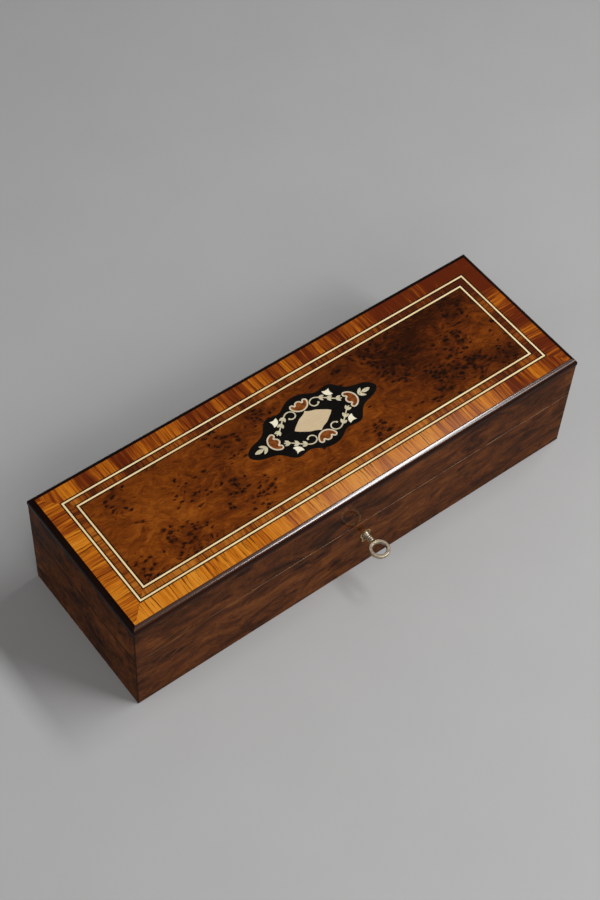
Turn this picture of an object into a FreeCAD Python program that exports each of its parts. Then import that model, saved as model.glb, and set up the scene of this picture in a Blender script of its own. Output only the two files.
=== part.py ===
import FreeCAD
import Part
import math
import os
import re

# Inlaid wooden pen case with a hinged lid, a box lock and its key, and a lift-out pen tray.
# Millimetres. X runs along the case, the front faces -Y and Z is up.
# The origin is the middle of the underside.

SIZES = {
    # Case
    "case_length": 300,
    "case_width": 99,
    "case_height": 75,
    "seam_height": 44,
    "veneer_thickness": 1.0,
    "wall_thickness": 9.0,
    "bottom_thickness": 6.0,
    "edge_ease": 0.4,
    # Lip that keeps the lid in place, and the linings
    "liner_thickness": 2.5,
    "lip_height": 3.0,
    "lip_clearance": 0.3,
    "floor_lining_thickness": 0.6,
    "pad_edge_thickness": 2.4,
    "pad_crown": 3.2,
    "pad_end_crown": 0.3,
    "pad_draw_in": 1.6,
    "pad_clearance": 1.5,
    # Lid top, from the outside in
    "top_panel_thickness": 7.0,
    "top_veneer_thickness": 0.8,
    "moulding_width": 3.0,
    "moulding_proud": 0.2,
    "moulding_height": 4.5,
    "moulding_flat": 0.2,
    "crossband_width": 9.4,
    "dark_line_width": 0.5,
    "pale_line_width": 1.0,
    "inner_band_width": 3.7,
    # Cartouche
    "cartouche_length": 86.0,
    "cartouche_width": 38.6,
    "cartouche_shift_x": 3.2,
    "cartouche_shift_y": 3.2,
    "shell_rim_width": 0.9,
    # Hinges
    "hinge_inset": 36.0,
    "leaf_length": 38.0,
    "leaf_depth": 8.0,
    "leaf_thickness": 1.2,
    "knuckle_radius": 2.2,
    "knuckle_gap": 0.2,
    "pin_radius": 1.0,
    "pin_clearance": 0.05,
    "hinge_screw_inset": 7.0,
    # Screws
    "screw_head_radius": 1.7,
    "screw_head_height": 0.9,
    "screw_radius": 0.8,
    "screw_length": 6.5,
    "screw_slot": 0.4,
    "screw_hole_clearance": 0.05,
    # Lock
    "lock_shift_x": 1.5,
    "lock_inset": 3.4,
    "lock_plate_height": 23.0,
    "lock_plate_thickness": 1.2,
    "lock_cap_thickness": 0.8,
    "lock_cap_drop": 6.8,
    "lock_gap": 0.3,
    "lock_end_room": 1.3,
    "lock_ear": 6.4,
    "bolt_throw": 5.0,
    "bolt_bridge": 1.6,
    "bolt_tail": 4.0,
    "post_width": 2.4,
    "finger_thickness": 1.2,
    "finger_height": 2.2,
    "finger_lead": 0.8,
    "staple_offset": 8.0,
    "staple_thickness": 2.0,
    "staple_leg": 0.8,
    "staple_foot": 1.2,
    "staple_swing_room": 0.6,
    "drill_pin_radius": 1.0,
    # Key and keyhole
    "key_height": 30.0,
    "shank_radius": 2.0,
    "bit_reach": 5.0,
    "bit_thickness": 1.4,
    "keyhole_radius": 2.7,
    "keyhole_slot": 2.6,
    "escutcheon_rim": 0.8,
    "escutcheon_proud": 0.3,
    "key_stand_off": 0.5,
    "boss_radius": 2.2,
    "boss_length": 2.3,
    "neck_radius": 1.35,
    "bead_radius": 0.6,
    "bead_sink": 0.2,
    "flare_radius": 1.8,
    "flare_length": 1.3,
    "bow_radius": 6.0,
    "bow_eye_radius": 3.9,
    "bow_thickness": 2.0,
    "bow_ease": 0.5,
    "bow_sink": 1.15,
    # Pen tray
    "tray_rest_width": 4.0,
    "tray_floor_height": 25.5,
    "tray_height": 16.0,
    "tray_clearance": 0.5,
    "rail_thickness": 3.0,
    "tray_base_thickness": 2.5,
    "end_well_length": 16.0,
    "pen_rest_thickness": 10.5,
    "pen_rest_clearance": 0.3,
    "groove_radius": 7.0,
    "groove_pitch": 16.4,
    "trough_radius": 16.0,
    "trough_depth": 7.0,
    "finger_notch_radius": 9.0,
    "finger_notch_depth": 6.0,
}

GROOVES = 4
KNUCKLES = 5

doc = FreeCAD.newDocument("pen_case")
sheet = doc.addObject("Spreadsheet::Sheet", "Sizes")
for row, (alias, number) in enumerate(SIZES.items(), start=1):
    sheet.set(f"A{row}", alias)
    sheet.set(f"B{row}", str(number))
    sheet.setAlias(f"B{row}", alias)
doc.recompute()

ALIAS = re.compile(r"\b(" + "|".join(SIZES) + r")\b")
NODES = []


# Expressions and primitives

def linked(text):
    """An expression in plain size names, with each name pointed at its cell."""
    return ALIAS.sub(r"Sizes.\1", str(text))


def size(text):
    """The number that an expression gives now."""
    return float(sheet.evalExpression(linked(text)))


def bind(obj, **expressions):
    for name, text in expressions.items():
        obj.setExpression(name, linked(text))


def place(obj, x, y, z, rotation=FreeCAD.Rotation()):
    obj.Placement = FreeCAD.Placement(FreeCAD.Vector(), rotation)
    for axis, text in zip("xyz", (x, y, z)):
        obj.setExpression(f"Placement.Base.{axis}", linked(text))


def node(obj, label):
    """Name a finished piece and list it for writing out."""
    obj.Label = label
    NODES.append(obj)
    return obj


def block(name, x, y, z):
    """A box between pairs of low and high expressions."""
    obj = doc.addObject("Part::Box", name)
    spans = {"Length": x, "Width": y, "Height": z}
    bind(obj, **{side: f"({high}) - ({low})" for side, (low, high) in spans.items()})
    place(obj, x[0], y[0], z[0])
    return obj


UPRIGHT = FreeCAD.Rotation()
ALONG_X = FreeCAD.Rotation(FreeCAD.Vector(0, 0, 1), FreeCAD.Vector(1, 0, 0))
ALONG_Y = FreeCAD.Rotation(FreeCAD.Vector(0, 0, 1), FreeCAD.Vector(0, 1, 0))
OUT_OF_FRONT = FreeCAD.Rotation(FreeCAD.Vector(0, 0, 1), FreeCAD.Vector(0, -1, 0))


def rod(name, radius, length, at, rotation):
    obj = doc.addObject("Part::Cylinder", name)
    bind(obj, Radius=radius, Height=length)
    place(obj, *at, rotation)
    return obj


def cone(name, radii, length, at, rotation):
    obj = doc.addObject("Part::Cone", name)
    bind(obj, Radius1=radii[0], Radius2=radii[1], Height=length)
    place(obj, *at, rotation)
    return obj


def ring(name, radius, tube, at, rotation):
    obj = doc.addObject("Part::Torus", name)
    bind(obj, Radius1=radius, Radius2=tube)
    place(obj, *at, rotation)
    return obj


def fuse(name, pieces):
    if len(pieces) == 1:
        return pieces[0]
    obj = doc.addObject("Part::MultiFuse", name)
    obj.Shapes = pieces
    return obj


def cut(name, base, tools):
    obj = doc.addObject("Part::Cut", name)
    obj.Base = base
    obj.Tool = fuse(f"{name}_tools", tools)
    return obj


def group(name, pieces):
    obj = doc.addObject("Part::Compound", name)
    obj.Links = pieces
    return obj


def solid(name, shape):
    obj = doc.addObject("Part::Feature", name)
    obj.Shape = shape
    return obj


def rounded(name, base, rounds):
    """Round the edges that each test picks, at its radius."""
    doc.recompute()
    obj = doc.addObject("Part::Fillet", name)
    obj.Base = base
    edges = []
    for radius, wanted in rounds:
        for index, edge in enumerate(base.Shape.Edges, start=1):
            if wanted(edge):
                edges.append((index, size(radius), size(radius)))
    obj.Edges = edges
    return obj


# Places that several pieces share

HALF_LENGTH = "(case_length / 2)"
HALF_WIDTH = "(case_width / 2)"
SEAM = "seam_height"
WALL_DEPTH = "(veneer_thickness + wall_thickness)"
LID_WALL_DEPTH = f"({WALL_DEPTH} - lip_clearance)"
MOULDING_FOOT = "(case_height - moulding_height)"
PANEL_FOOT = "(case_height - top_veneer_thickness - top_panel_thickness)"
TOP_GROUND = "(case_height - top_veneer_thickness)"
LINER_DEPTH = f"({WALL_DEPTH} + liner_thickness)"
TURN = {"front": 0, "right": 90, "back": 180, "left": -90}
UP = FreeCAD.Vector(0, 0, 1)


def inward(side, depth):
    """The place of a depth below the outer face of one side, along that side's own axis."""
    half = HALF_WIDTH if side in ("front", "back") else HALF_LENGTH
    return f"-({half} - ({depth}))" if side in ("front", "left") else f"({half} - ({depth}))"


def slab(name, side, depth, half, z):
    """A board parallel to one side, between two depths below that side's outer face."""
    across = [inward(side, end) for end in depth]
    if side in ("back", "right"):
        across.reverse()
    along = (f"-({half})", half)
    if side in ("front", "back"):
        return block(name, along, across, z)
    return block(name, across, along, z)


def mitred(name, side, depth, z):
    """A strip along one side whose ends are cut at 45 degrees."""
    obj = doc.addObject("Part::Wedge", name)
    half = HALF_LENGTH if side in ("front", "back") else HALF_WIDTH
    outer, inner = (f"({half} - ({end}))" for end in depth)
    bind(obj, Ymin=depth[0], Ymax=depth[1], Zmin=z[0], Zmax=z[1], Z2min=z[0], Z2max=z[1])
    bind(obj, Xmin=f"-{outer}", Xmax=outer, X2min=f"-{inner}", X2max=inner)
    edge = inward(side, 0)
    x, y = ("0", edge) if side in ("front", "back") else (edge, "0")
    place(obj, x, y, "0", FreeCAD.Rotation(UP, TURN[side]))
    return obj


def mitred_frame(name, depth, z):
    return [mitred(f"{name}_{side}", side, depth, z) for side in TURN]


def outer_face_edges(side, z_wanted, uprights):
    """Picks the edges round a veneer's outer face, at the wanted heights and, if asked, its uprights."""
    axis = 1 if side in ("front", "back") else 0
    face = size(inward(side, 0))

    def wanted(edge):
        ends = [vertex.Point for vertex in edge.Vertexes]
        if any(abs(end[axis] - face) > 1e-6 for end in ends):
            return False
        level = abs(ends[0].z - ends[1].z) < 1e-6
        if not level:
            return uprights
        return any(abs(ends[0].z - size(height)) < 1e-6 for height in z_wanted)

    return wanted


# Screws, heads up at the origin

def screw_body(clearance):
    head = size("screw_head_radius") + clearance
    shank = size("screw_radius") + clearance
    head_height = size("screw_head_height")
    length = size("screw_length")
    down = FreeCAD.Vector(0, 0, -1)
    countersink = Part.makeCone(head, shank, head_height, FreeCAD.Vector(), down)
    stem = Part.makeCylinder(shank, length - head_height, FreeCAD.Vector(0, 0, -head_height), down)
    return countersink.fuse(stem).removeSplitter()


def slotted_screw():
    head = size("screw_head_radius")
    slot = size("screw_slot")
    corner = FreeCAD.Vector(-head, -slot / 2, -slot)
    return screw_body(0).cut(Part.makeBox(2 * head, slot, slot, corner))


def set_in(shape, places, upwards):
    """Copies of a screw shape at the places, turned over where it points up."""
    turn = FreeCAD.Rotation(FreeCAD.Vector(1, 0, 0), 180 if upwards else 0)
    copies = []
    for x, y, z in places:
        copy = shape.copy()
        copy.Placement = FreeCAD.Placement(FreeCAD.Vector(size(x), size(y), size(z)), turn)
        copies.append(copy)
    return Part.makeCompound(copies)


HINGE_REACH = f"({HALF_LENGTH} - hinge_inset - leaf_length / 2)"
HINGES = {"left": f"(-{HINGE_REACH})", "right": HINGE_REACH}
LEAF_SCREW_Y = f"{HALF_WIDTH} - leaf_depth / 2"
FINGER_LENGTH = "(bolt_throw - finger_lead + lock_gap)"
POST_START = f"(staple_thickness / 2 + finger_lead + {FINGER_LENGTH})"
CAP_HALF = f"(staple_offset + {POST_START} + post_width + lock_end_room + lock_cap_thickness)"
LOCK_HALF = f"({CAP_HALF} + lock_ear)"
LOCK_SCREW_REACH = f"{CAP_HALF} + lock_ear / 2"
LOCK_BACK = f"({WALL_DEPTH} - lock_plate_thickness)"
LOCK_MIDDLE = f"((lock_inset + lock_cap_thickness + {LOCK_BACK}) / 2)"
FRONT = f"-{HALF_WIDTH}"

hinge_screw_places = [
    (f"{middle} + ({step}) * (leaf_length / 2 - hinge_screw_inset)", LEAF_SCREW_Y, SEAM)
    for middle in HINGES.values()
    for step in (-1, 0, 1)
]
lock_screw_places = [
    (f"lock_shift_x + ({side}) * ({LOCK_SCREW_REACH})", f"{FRONT} + {LOCK_MIDDLE}", SEAM)
    for side in (-1, 1)
]
hole_shape = screw_body(size("screw_hole_clearance"))
holes = {
    ("hinge", "base"): solid("hinge_holes_base", set_in(hole_shape, hinge_screw_places, False)),
    ("hinge", "lid"): solid("hinge_holes_lid", set_in(hole_shape, hinge_screw_places, True)),
    ("lock", "base"): solid("lock_holes_base", set_in(hole_shape, lock_screw_places, False)),
    ("lock", "lid"): solid("lock_holes_lid", set_in(hole_shape, lock_screw_places, True)),
}
all_screw_places = hinge_screw_places + lock_screw_places
node(solid("base_screws", set_in(slotted_screw(), all_screw_places, False)), "base_screws")
node(solid("lid_screws", set_in(slotted_screw(), all_screw_places, True)), "lid_screws")


# Butt hinges on the back: leaves, knuckles and pins

HINGE_Y = f"({HALF_WIDTH} + knuckle_radius + knuckle_gap)"
BARREL = f"(leaf_length / {KNUCKLES})"
LEAF_Z = {"lower": (f"{SEAM} - leaf_thickness", SEAM), "upper": (SEAM, f"{SEAM} + leaf_thickness")}
LEAF_BODY = {"lower": "base", "upper": "lid"}


def leaf_plate(name, middle, leaf):
    x = (f"{middle} - leaf_length / 2", f"{middle} + leaf_length / 2")
    return block(name, x, (f"{HALF_WIDTH} - leaf_depth", HALF_WIDTH), LEAF_Z[leaf])


def hinge_leaf(side, leaf):
    """A flat leaf, its own knuckles and the bridges between, with pin and screw holes."""
    name = f"hinge_{side}_{leaf}_leaf"
    middle = HINGES[side]
    start = f"{middle} - leaf_length / 2"
    pieces = [leaf_plate(f"{name}_plate", middle, leaf)]
    own = range(0 if leaf == "lower" else 1, KNUCKLES, 2)
    for index in own:
        low = f"{start} + {index} * {BARREL} + knuckle_gap / 2"
        high = f"{start} + {index + 1} * {BARREL} - knuckle_gap / 2"
        pieces.append(block(f"{name}_bridge_{index}", (low, high), (HALF_WIDTH, HINGE_Y), LEAF_Z[leaf]))
        length = f"({high}) - ({low})"
        pieces.append(rod(f"{name}_knuckle_{index}", "knuckle_radius", length, (low, HINGE_Y, SEAM), ALONG_X))
    bore = rod(f"{name}_bore", "pin_radius + pin_clearance", "leaf_length", (start, HINGE_Y, SEAM), ALONG_X)
    tools = [bore, holes[("hinge", LEAF_BODY[leaf])]]
    return node(cut(name, fuse(f"{name}_blank", pieces), tools), name)


for hinge_side in HINGES:
    for leaf_name in LEAF_Z:
        hinge_leaf(hinge_side, leaf_name)

hinge_pins = [
    rod(f"pin_{side}", "pin_radius", "leaf_length", (f"{middle} - leaf_length / 2", HINGE_Y, SEAM), ALONG_X)
    for side, middle in HINGES.items()
]
node(group("hinge_pins", hinge_pins), "hinge_pins")


# Keyhole and its brass escutcheon

KEY_X = "lock_shift_x"
KEY_Z = "key_height"
KEYHOLE_DROP = "(bit_reach + escutcheon_rim)"


def keyhole(name, margin, depth):
    """A round hole with a slot below it, grown by a margin, between two depths from the front."""
    length = f"({depth[1]}) - ({depth[0]})"
    start = f"{FRONT} + ({depth[0]})"
    eye = rod(f"{name}_eye", f"keyhole_radius + {margin}", length, (KEY_X, start, KEY_Z), ALONG_Y)
    half = f"(keyhole_slot / 2 + {margin})"
    tail = block(
        f"{name}_tail",
        (f"{KEY_X} - {half}", f"{KEY_X} + {half}"),
        (start, f"{FRONT} + ({depth[1]})"),
        (f"{KEY_Z} - {KEYHOLE_DROP} - {margin}", KEY_Z),
    )
    return fuse(name, [eye, tail])


escutcheon_depth = ("-escutcheon_proud", "veneer_thickness")
escutcheon_blank = keyhole("escutcheon_blank", "escutcheon_rim", escutcheon_depth)
escutcheon_hole = keyhole("escutcheon_hole", "0", escutcheon_depth)
node(cut("keyhole_escutcheon", escutcheon_blank, [escutcheon_hole]), "keyhole_escutcheon")


# Base: carcass, veneer, liners

BASE_Z = ("0", SEAM)
LONG_WALL = f"{HALF_LENGTH} - veneer_thickness"
SHORT_WALL = f"{HALF_WIDTH} - {WALL_DEPTH}"
LID_SHORT_WALL = f"{HALF_WIDTH} - {LID_WALL_DEPTH}"
SHORT_VENEER = f"{HALF_WIDTH} - veneer_thickness"
LOCK_X = (f"lock_shift_x - {LOCK_HALF}", f"lock_shift_x + {LOCK_HALF}")
CAP_X = (f"lock_shift_x - {CAP_HALF}", f"lock_shift_x + {CAP_HALF}")
PLATE_Z = (f"{SEAM} - lock_plate_height", SEAM)
SELVEDGE_Z = (f"{SEAM} - lock_plate_thickness", SEAM)
CAP_Z = (f"{KEY_Z} - lock_cap_drop", SELVEDGE_Z[0])


def from_front(*depths):
    return tuple(f"{FRONT} + ({depth})" for depth in depths)


def long_half(side, long_one, short_one):
    return long_one if side in ("front", "back") else short_one


node(
    block(
        "bottom_panel",
        (inward("left", WALL_DEPTH), inward("right", WALL_DEPTH)),
        (inward("front", WALL_DEPTH), inward("back", WALL_DEPTH)),
        ("0", "bottom_thickness"),
    ),
    "bottom_panel",
)

base_wall_cuts = {
    "front": [
        block("mortise_cap", CAP_X, from_front("lock_inset", WALL_DEPTH), (CAP_Z[0], SEAM)),
        block("mortise_plate", LOCK_X, from_front(LOCK_BACK, WALL_DEPTH), PLATE_Z),
        block("mortise_selvedge", LOCK_X, from_front("lock_inset", WALL_DEPTH), SELVEDGE_Z),
        keyhole("wall_keyhole", "escutcheon_rim", ("0", WALL_DEPTH)),
        holes[("lock", "base")],
    ],
    "back": [leaf_plate(f"base_mortise_{side}", middle, "lower") for side, middle in HINGES.items()]
    + [holes[("hinge", "base")]],
}
base_veneer_cuts = {
    "front": [keyhole("veneer_keyhole", "escutcheon_rim", ("0", "veneer_thickness"))],
    "back": [leaf_plate(f"base_veneer_notch_{side}", middle, "lower") for side, middle in HINGES.items()],
}
for side in TURN:
    half = long_half(side, LONG_WALL, SHORT_WALL)
    wall = slab(f"base_{side}_board", side, ("veneer_thickness", WALL_DEPTH), half, BASE_Z)
    if side in base_wall_cuts:
        wall = cut(f"base_{side}_wall", wall, base_wall_cuts[side])
    node(wall, f"base_{side}_wall")

    half = long_half(side, HALF_LENGTH, SHORT_VENEER)
    sheet_of_veneer = slab(f"base_{side}_sheet", side, ("0", "veneer_thickness"), half, BASE_Z)
    doc.recompute()
    picked = outer_face_edges(side, BASE_Z, side in ("front", "back"))
    veneer = rounded(f"base_{side}_eased", sheet_of_veneer, [("edge_ease", picked)])
    if side in base_veneer_cuts:
        veneer = cut(f"base_{side}_veneer", veneer, base_veneer_cuts[side])
    node(veneer, f"base_{side}_veneer")

    lip = "0" if side == "back" else "lip_height"
    liner_z = ("bottom_thickness", f"{SEAM} + {lip}")
    node(mitred(f"liner_{side}", side, (WALL_DEPTH, LINER_DEPTH), liner_z), f"liner_{side}")


# Tray rests and floor lining

REST_DEPTH = f"({LINER_DEPTH} + tray_rest_width)"
REST_Z = ("bottom_thickness", "tray_floor_height")
LINED_WIDTH = f"{HALF_WIDTH} - {LINER_DEPTH}"
rests = [
    slab(f"tray_rest_{side}", side, (LINER_DEPTH, REST_DEPTH), LINED_WIDTH, REST_Z)
    for side in ("left", "right")
]
node(group("tray_rests", rests), "tray_rests")
node(
    block(
        "floor_lining",
        (inward("left", REST_DEPTH), inward("right", REST_DEPTH)),
        (inward("front", LINER_DEPTH), inward("back", LINER_DEPTH)),
        ("bottom_thickness", "bottom_thickness + floor_lining_thickness"),
    ),
    "floor_lining",
)


# Box lock in the front wall: plate, cap, drill pin and sliding bolt

BOLT_FOOT = f"({KEY_Z} + shank_radius + lock_gap)"
TALON_TOP = f"({KEY_Z} + bit_reach + lock_gap)"
BOLT_TOP = f"({TALON_TOP} + bolt_bridge)"
TALON_HALF = "(bit_reach + bit_thickness / 2 - bolt_throw / 2 + lock_gap / 2)"
STAPLE_FOOT = f"({BOLT_TOP} + lock_gap)"
EYE_FOOT = f"({STAPLE_FOOT} + staple_foot)"
FINGER_FOOT = f"({EYE_FOOT} + lock_gap)"
FINGER_TOP = f"({FINGER_FOOT} + finger_height)"
EYE_TOP = f"({FINGER_TOP} + lock_gap)"
EYE_HALF = "(finger_thickness / 2 + lock_gap)"
STAPLE_HALF = f"({EYE_HALF} + staple_leg)"
STAPLES = {"left": "(lock_shift_x - staple_offset)", "right": "(lock_shift_x + staple_offset)"}


def around(middle, half):
    return (f"{middle} - {half}", f"{middle} + {half}")


def staple_slot(side):
    middle = STAPLES[side]
    across = "(staple_thickness / 2 + staple_swing_room)"
    deep = from_front(*around(LOCK_MIDDLE, f"({STAPLE_HALF} + staple_swing_room)"))
    return block(f"staple_slot_{side}", around(middle, across), deep, SELVEDGE_Z)


back_plate = block("lock_back_plate", LOCK_X, from_front(LOCK_BACK, WALL_DEPTH), PLATE_Z)
selvedge = block("lock_selvedge", LOCK_X, from_front("lock_inset", WALL_DEPTH), SELVEDGE_Z)
plate_tools = [staple_slot(side) for side in STAPLES] + [holes[("lock", "base")]]
node(cut("lock_plate", fuse("lock_plate_blank", [back_plate, selvedge]), plate_tools), "lock_plate")

CAP_INNER_X = (f"{CAP_X[0]} + lock_cap_thickness", f"{CAP_X[1]} - lock_cap_thickness")
CAP_INNER = "(lock_inset + lock_cap_thickness)"
cap_blank = block("lock_cap_blank", CAP_X, from_front("lock_inset", LOCK_BACK), CAP_Z)
CAP_INNER_Z = (f"{CAP_Z[0]} + lock_cap_thickness", CAP_Z[1])
cap_room = block("lock_cap_room", CAP_INNER_X, from_front(CAP_INNER, LOCK_BACK), CAP_INNER_Z)
cap_keyhole = keyhole("cap_keyhole", "0", ("lock_inset", CAP_INNER))
node(cut("lock_cap", cap_blank, [cap_room, cap_keyhole]), "lock_cap")

PIN_LENGTH = f"({LOCK_BACK} - {CAP_INNER} - lock_gap)"
pin_at = (KEY_X, f"{FRONT} + {LOCK_BACK}", KEY_Z)
node(rod("lock_drill_pin", "drill_pin_radius", PIN_LENGTH, pin_at, OUT_OF_FRONT), "lock_drill_pin")

BOLT_DEPTH = from_front(f"{CAP_INNER} + lock_gap", f"{LOCK_BACK} - lock_gap")
FINGER_DEPTH = from_front(*around(LOCK_MIDDLE, "(finger_thickness / 2)"))
bolt_pieces = []
posts = {}
for side, middle in STAPLES.items():
    root = f"({middle} + {POST_START})"
    posts[side] = (root, f"{root} + post_width")
    finger_x = (f"{root} - {FINGER_LENGTH}", posts[side][1])
    bolt_pieces.append(block(f"bolt_finger_{side}", finger_x, FINGER_DEPTH, (FINGER_FOOT, FINGER_TOP)))
    bolt_pieces.append(block(f"bolt_post_{side}", posts[side], FINGER_DEPTH, (BOLT_FOOT, FINGER_TOP)))
TALON_MIDDLE = f"({KEY_X} + bolt_throw / 2)"
bar_start = f"{TALON_MIDDLE} - {TALON_HALF} - bolt_tail"
bolt_pieces.append(block("bolt_bar", (bar_start, posts["right"][1]), BOLT_DEPTH, (BOLT_FOOT, BOLT_TOP)))
talon = block("bolt_talon", around(TALON_MIDDLE, TALON_HALF), BOLT_DEPTH, (BOLT_FOOT, TALON_TOP))
node(cut("lock_bolt", fuse("lock_bolt_blank", bolt_pieces), [talon]), "lock_bolt")


# Key: barrel with a bit inside the lock, turned neck and flat ring bow outside

BIT_DEPTH = from_front(f"{CAP_INNER} + lock_gap", f"{LOCK_BACK} - lock_gap")
BARREL_END = f"({FRONT} + {LOCK_BACK} - lock_gap)"
NECK_START = f"({FRONT} - key_stand_off)"
BEADS = 3
BEAD_WIDTH = "(2 * bead_radius)"
BEADS_START = f"({NECK_START} - boss_length - bead_radius)"
FLARE_START = f"({BEADS_START} - {BEADS - 1} * {BEAD_WIDTH} - bead_radius)"
BOW_Y = f"({FLARE_START} - flare_length - bow_radius + bow_sink)"
BEAD_RING = "neck_radius - bead_sink"
BARREL_LENGTH = f"{BARREL_END} - {NECK_START}"
NECK_LENGTH = f"{NECK_START} - {FLARE_START}"


BOW_FOOT = f"({KEY_Z} - bow_thickness / 2)"


def on_key(y):
    return (KEY_X, y, KEY_Z)


def is_round(edge):
    return isinstance(edge.Curve, Part.Circle)


bow_disc = rod("key_bow_disc", "bow_radius", "bow_thickness", (KEY_X, BOW_Y, BOW_FOOT), UPRIGHT)
bow_eye = rod("key_bow_eye", "bow_eye_radius", "bow_thickness", (KEY_X, BOW_Y, BOW_FOOT), UPRIGHT)
key_pieces = [
    rod("key_barrel", "shank_radius", BARREL_LENGTH, on_key(BARREL_END), OUT_OF_FRONT),
    cone("key_boss", ("boss_radius", "neck_radius"), "boss_length", on_key(NECK_START), OUT_OF_FRONT),
    rod("key_neck", "neck_radius", NECK_LENGTH, on_key(NECK_START), OUT_OF_FRONT),
    cone("key_flare", ("neck_radius", "flare_radius"), "flare_length", on_key(FLARE_START), OUT_OF_FRONT),
    rounded("key_bow", cut("key_bow_plain", bow_disc, [bow_eye]), [("bow_ease", is_round)]),
    block("key_bit", (KEY_X, f"{KEY_X} + bit_reach"), BIT_DEPTH, around(KEY_Z, "bit_thickness / 2")),
]
for count in range(BEADS):
    bead_at = on_key(f"{BEADS_START} - {count} * {BEAD_WIDTH}")
    key_pieces.append(ring(f"key_bead_{count}", BEAD_RING, "bead_radius", bead_at, ALONG_Y))
BORE = "drill_pin_radius + pin_clearance"
key_bore = rod("key_bore", BORE, f"{PIN_LENGTH} + lock_gap", on_key(BARREL_END), OUT_OF_FRONT)
node(cut("key", fuse("key_blank", key_pieces), [key_bore]), "key")


# Pen tray: rails, base and grooved pen rest

TRAY_DEPTH = f"({LINER_DEPTH} + tray_clearance)"
RAIL_DEPTH = f"({TRAY_DEPTH} + rail_thickness)"
TRAY_FOOT = "tray_floor_height"
TRAY_TOP = "(tray_floor_height + tray_height)"
NOTCH_Z = f"{TRAY_TOP} + finger_notch_radius - finger_notch_depth"
TRAY_LONG = f"{HALF_LENGTH} - {TRAY_DEPTH}"
TRAY_SHORT = f"{HALF_WIDTH} - {RAIL_DEPTH}"
for side in TURN:
    half = long_half(side, TRAY_LONG, TRAY_SHORT)
    rail = slab(f"tray_{side}_board", side, (TRAY_DEPTH, RAIL_DEPTH), half, (TRAY_FOOT, TRAY_TOP))
    if side in ("left", "right"):
        notch_at = (inward(side, TRAY_DEPTH if side == "left" else RAIL_DEPTH), "0", NOTCH_Z)
        notch = rod(f"finger_notch_{side}", "finger_notch_radius", "rail_thickness", notch_at, ALONG_X)
        rail = cut(f"tray_{side}_rail", rail, [notch])
    node(rail, f"tray_{side}_rail")

TRAY_BASE_TOP = "(tray_floor_height + tray_base_thickness)"
node(
    block(
        "tray_base",
        (inward("left", RAIL_DEPTH), inward("right", RAIL_DEPTH)),
        (inward("front", RAIL_DEPTH), inward("back", RAIL_DEPTH)),
        (TRAY_FOOT, TRAY_BASE_TOP),
    ),
    "tray_base",
)

REST_HALF_LENGTH = f"({HALF_LENGTH} - {RAIL_DEPTH} - end_well_length)"
REST_HALF_WIDTH = f"({HALF_WIDTH} - {RAIL_DEPTH} - pen_rest_clearance)"
REST_TOP = f"({TRAY_BASE_TOP} + pen_rest_thickness)"
rest_block = block(
    "pen_rest_block",
    (f"-{REST_HALF_LENGTH}", REST_HALF_LENGTH),
    (f"-{REST_HALF_WIDTH}", REST_HALF_WIDTH),
    (TRAY_BASE_TOP, REST_TOP),
)
groove_tools = []
for index in range(GROOVES):
    groove_y = f"({index} - {(GROOVES - 1) / 2}) * groove_pitch"
    groove_at = (f"-{REST_HALF_LENGTH}", groove_y, REST_TOP)
    groove = rod(f"pen_groove_{index}", "groove_radius", f"2 * {REST_HALF_LENGTH}", groove_at, ALONG_X)
    groove_tools.append(groove)
trough_at = ("0", f"-{REST_HALF_WIDTH}", f"{REST_TOP} + trough_radius - trough_depth")
groove_tools.append(rod("finger_trough", "trough_radius", f"2 * {REST_HALF_WIDTH}", trough_at, ALONG_Y))
node(cut("pen_rest", rest_block, groove_tools), "pen_rest")


# Lid: top panel, carcass, veneer and link plate

LID_Z = (SEAM, MOULDING_FOOT)
PANEL_SPACE = (
    (inward("left", "moulding_width"), inward("right", "moulding_width")),
    (inward("front", "moulding_width"), inward("back", "moulding_width")),
    (PANEL_FOOT, TOP_GROUND),
)
node(block("lid_top_panel", *PANEL_SPACE), "lid_top_panel")

LINK_Z = (SEAM, f"{SEAM} + lock_plate_thickness")
LINK_DEPTH = from_front(*around(LOCK_MIDDLE, f"({STAPLE_HALF} + staple_swing_room)"))
lid_wall_cuts = {
    "front": [block("link_mortise", LOCK_X, LINK_DEPTH, LINK_Z), holes[("lock", "lid")]],
    "back": [leaf_plate(f"lid_mortise_{side}", middle, "upper") for side, middle in HINGES.items()]
    + [holes[("hinge", "lid")]],
}
lid_veneer_cuts = {
    "back": [leaf_plate(f"lid_veneer_notch_{side}", middle, "upper") for side, middle in HINGES.items()],
}
for side in TURN:
    half = long_half(side, LONG_WALL, LID_SHORT_WALL)
    wall = slab(f"lid_{side}_board", side, ("veneer_thickness", LID_WALL_DEPTH), half, LID_Z)
    rebate = block(f"panel_rebate_{side}", *PANEL_SPACE)
    wall = cut(f"lid_{side}_wall", wall, [rebate] + lid_wall_cuts.get(side, []))
    node(wall, f"lid_{side}_wall")

    half = long_half(side, HALF_LENGTH, SHORT_VENEER)
    sheet_of_veneer = slab(f"lid_{side}_sheet", side, ("0", "veneer_thickness"), half, LID_Z)
    doc.recompute()
    picked = outer_face_edges(side, (SEAM,), side in ("front", "back"))
    veneer = rounded(f"lid_{side}_eased", sheet_of_veneer, [("edge_ease", picked)])
    if side in lid_veneer_cuts:
        veneer = cut(f"lid_{side}_veneer", veneer, lid_veneer_cuts[side])
    node(veneer, f"lid_{side}_veneer")

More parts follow.
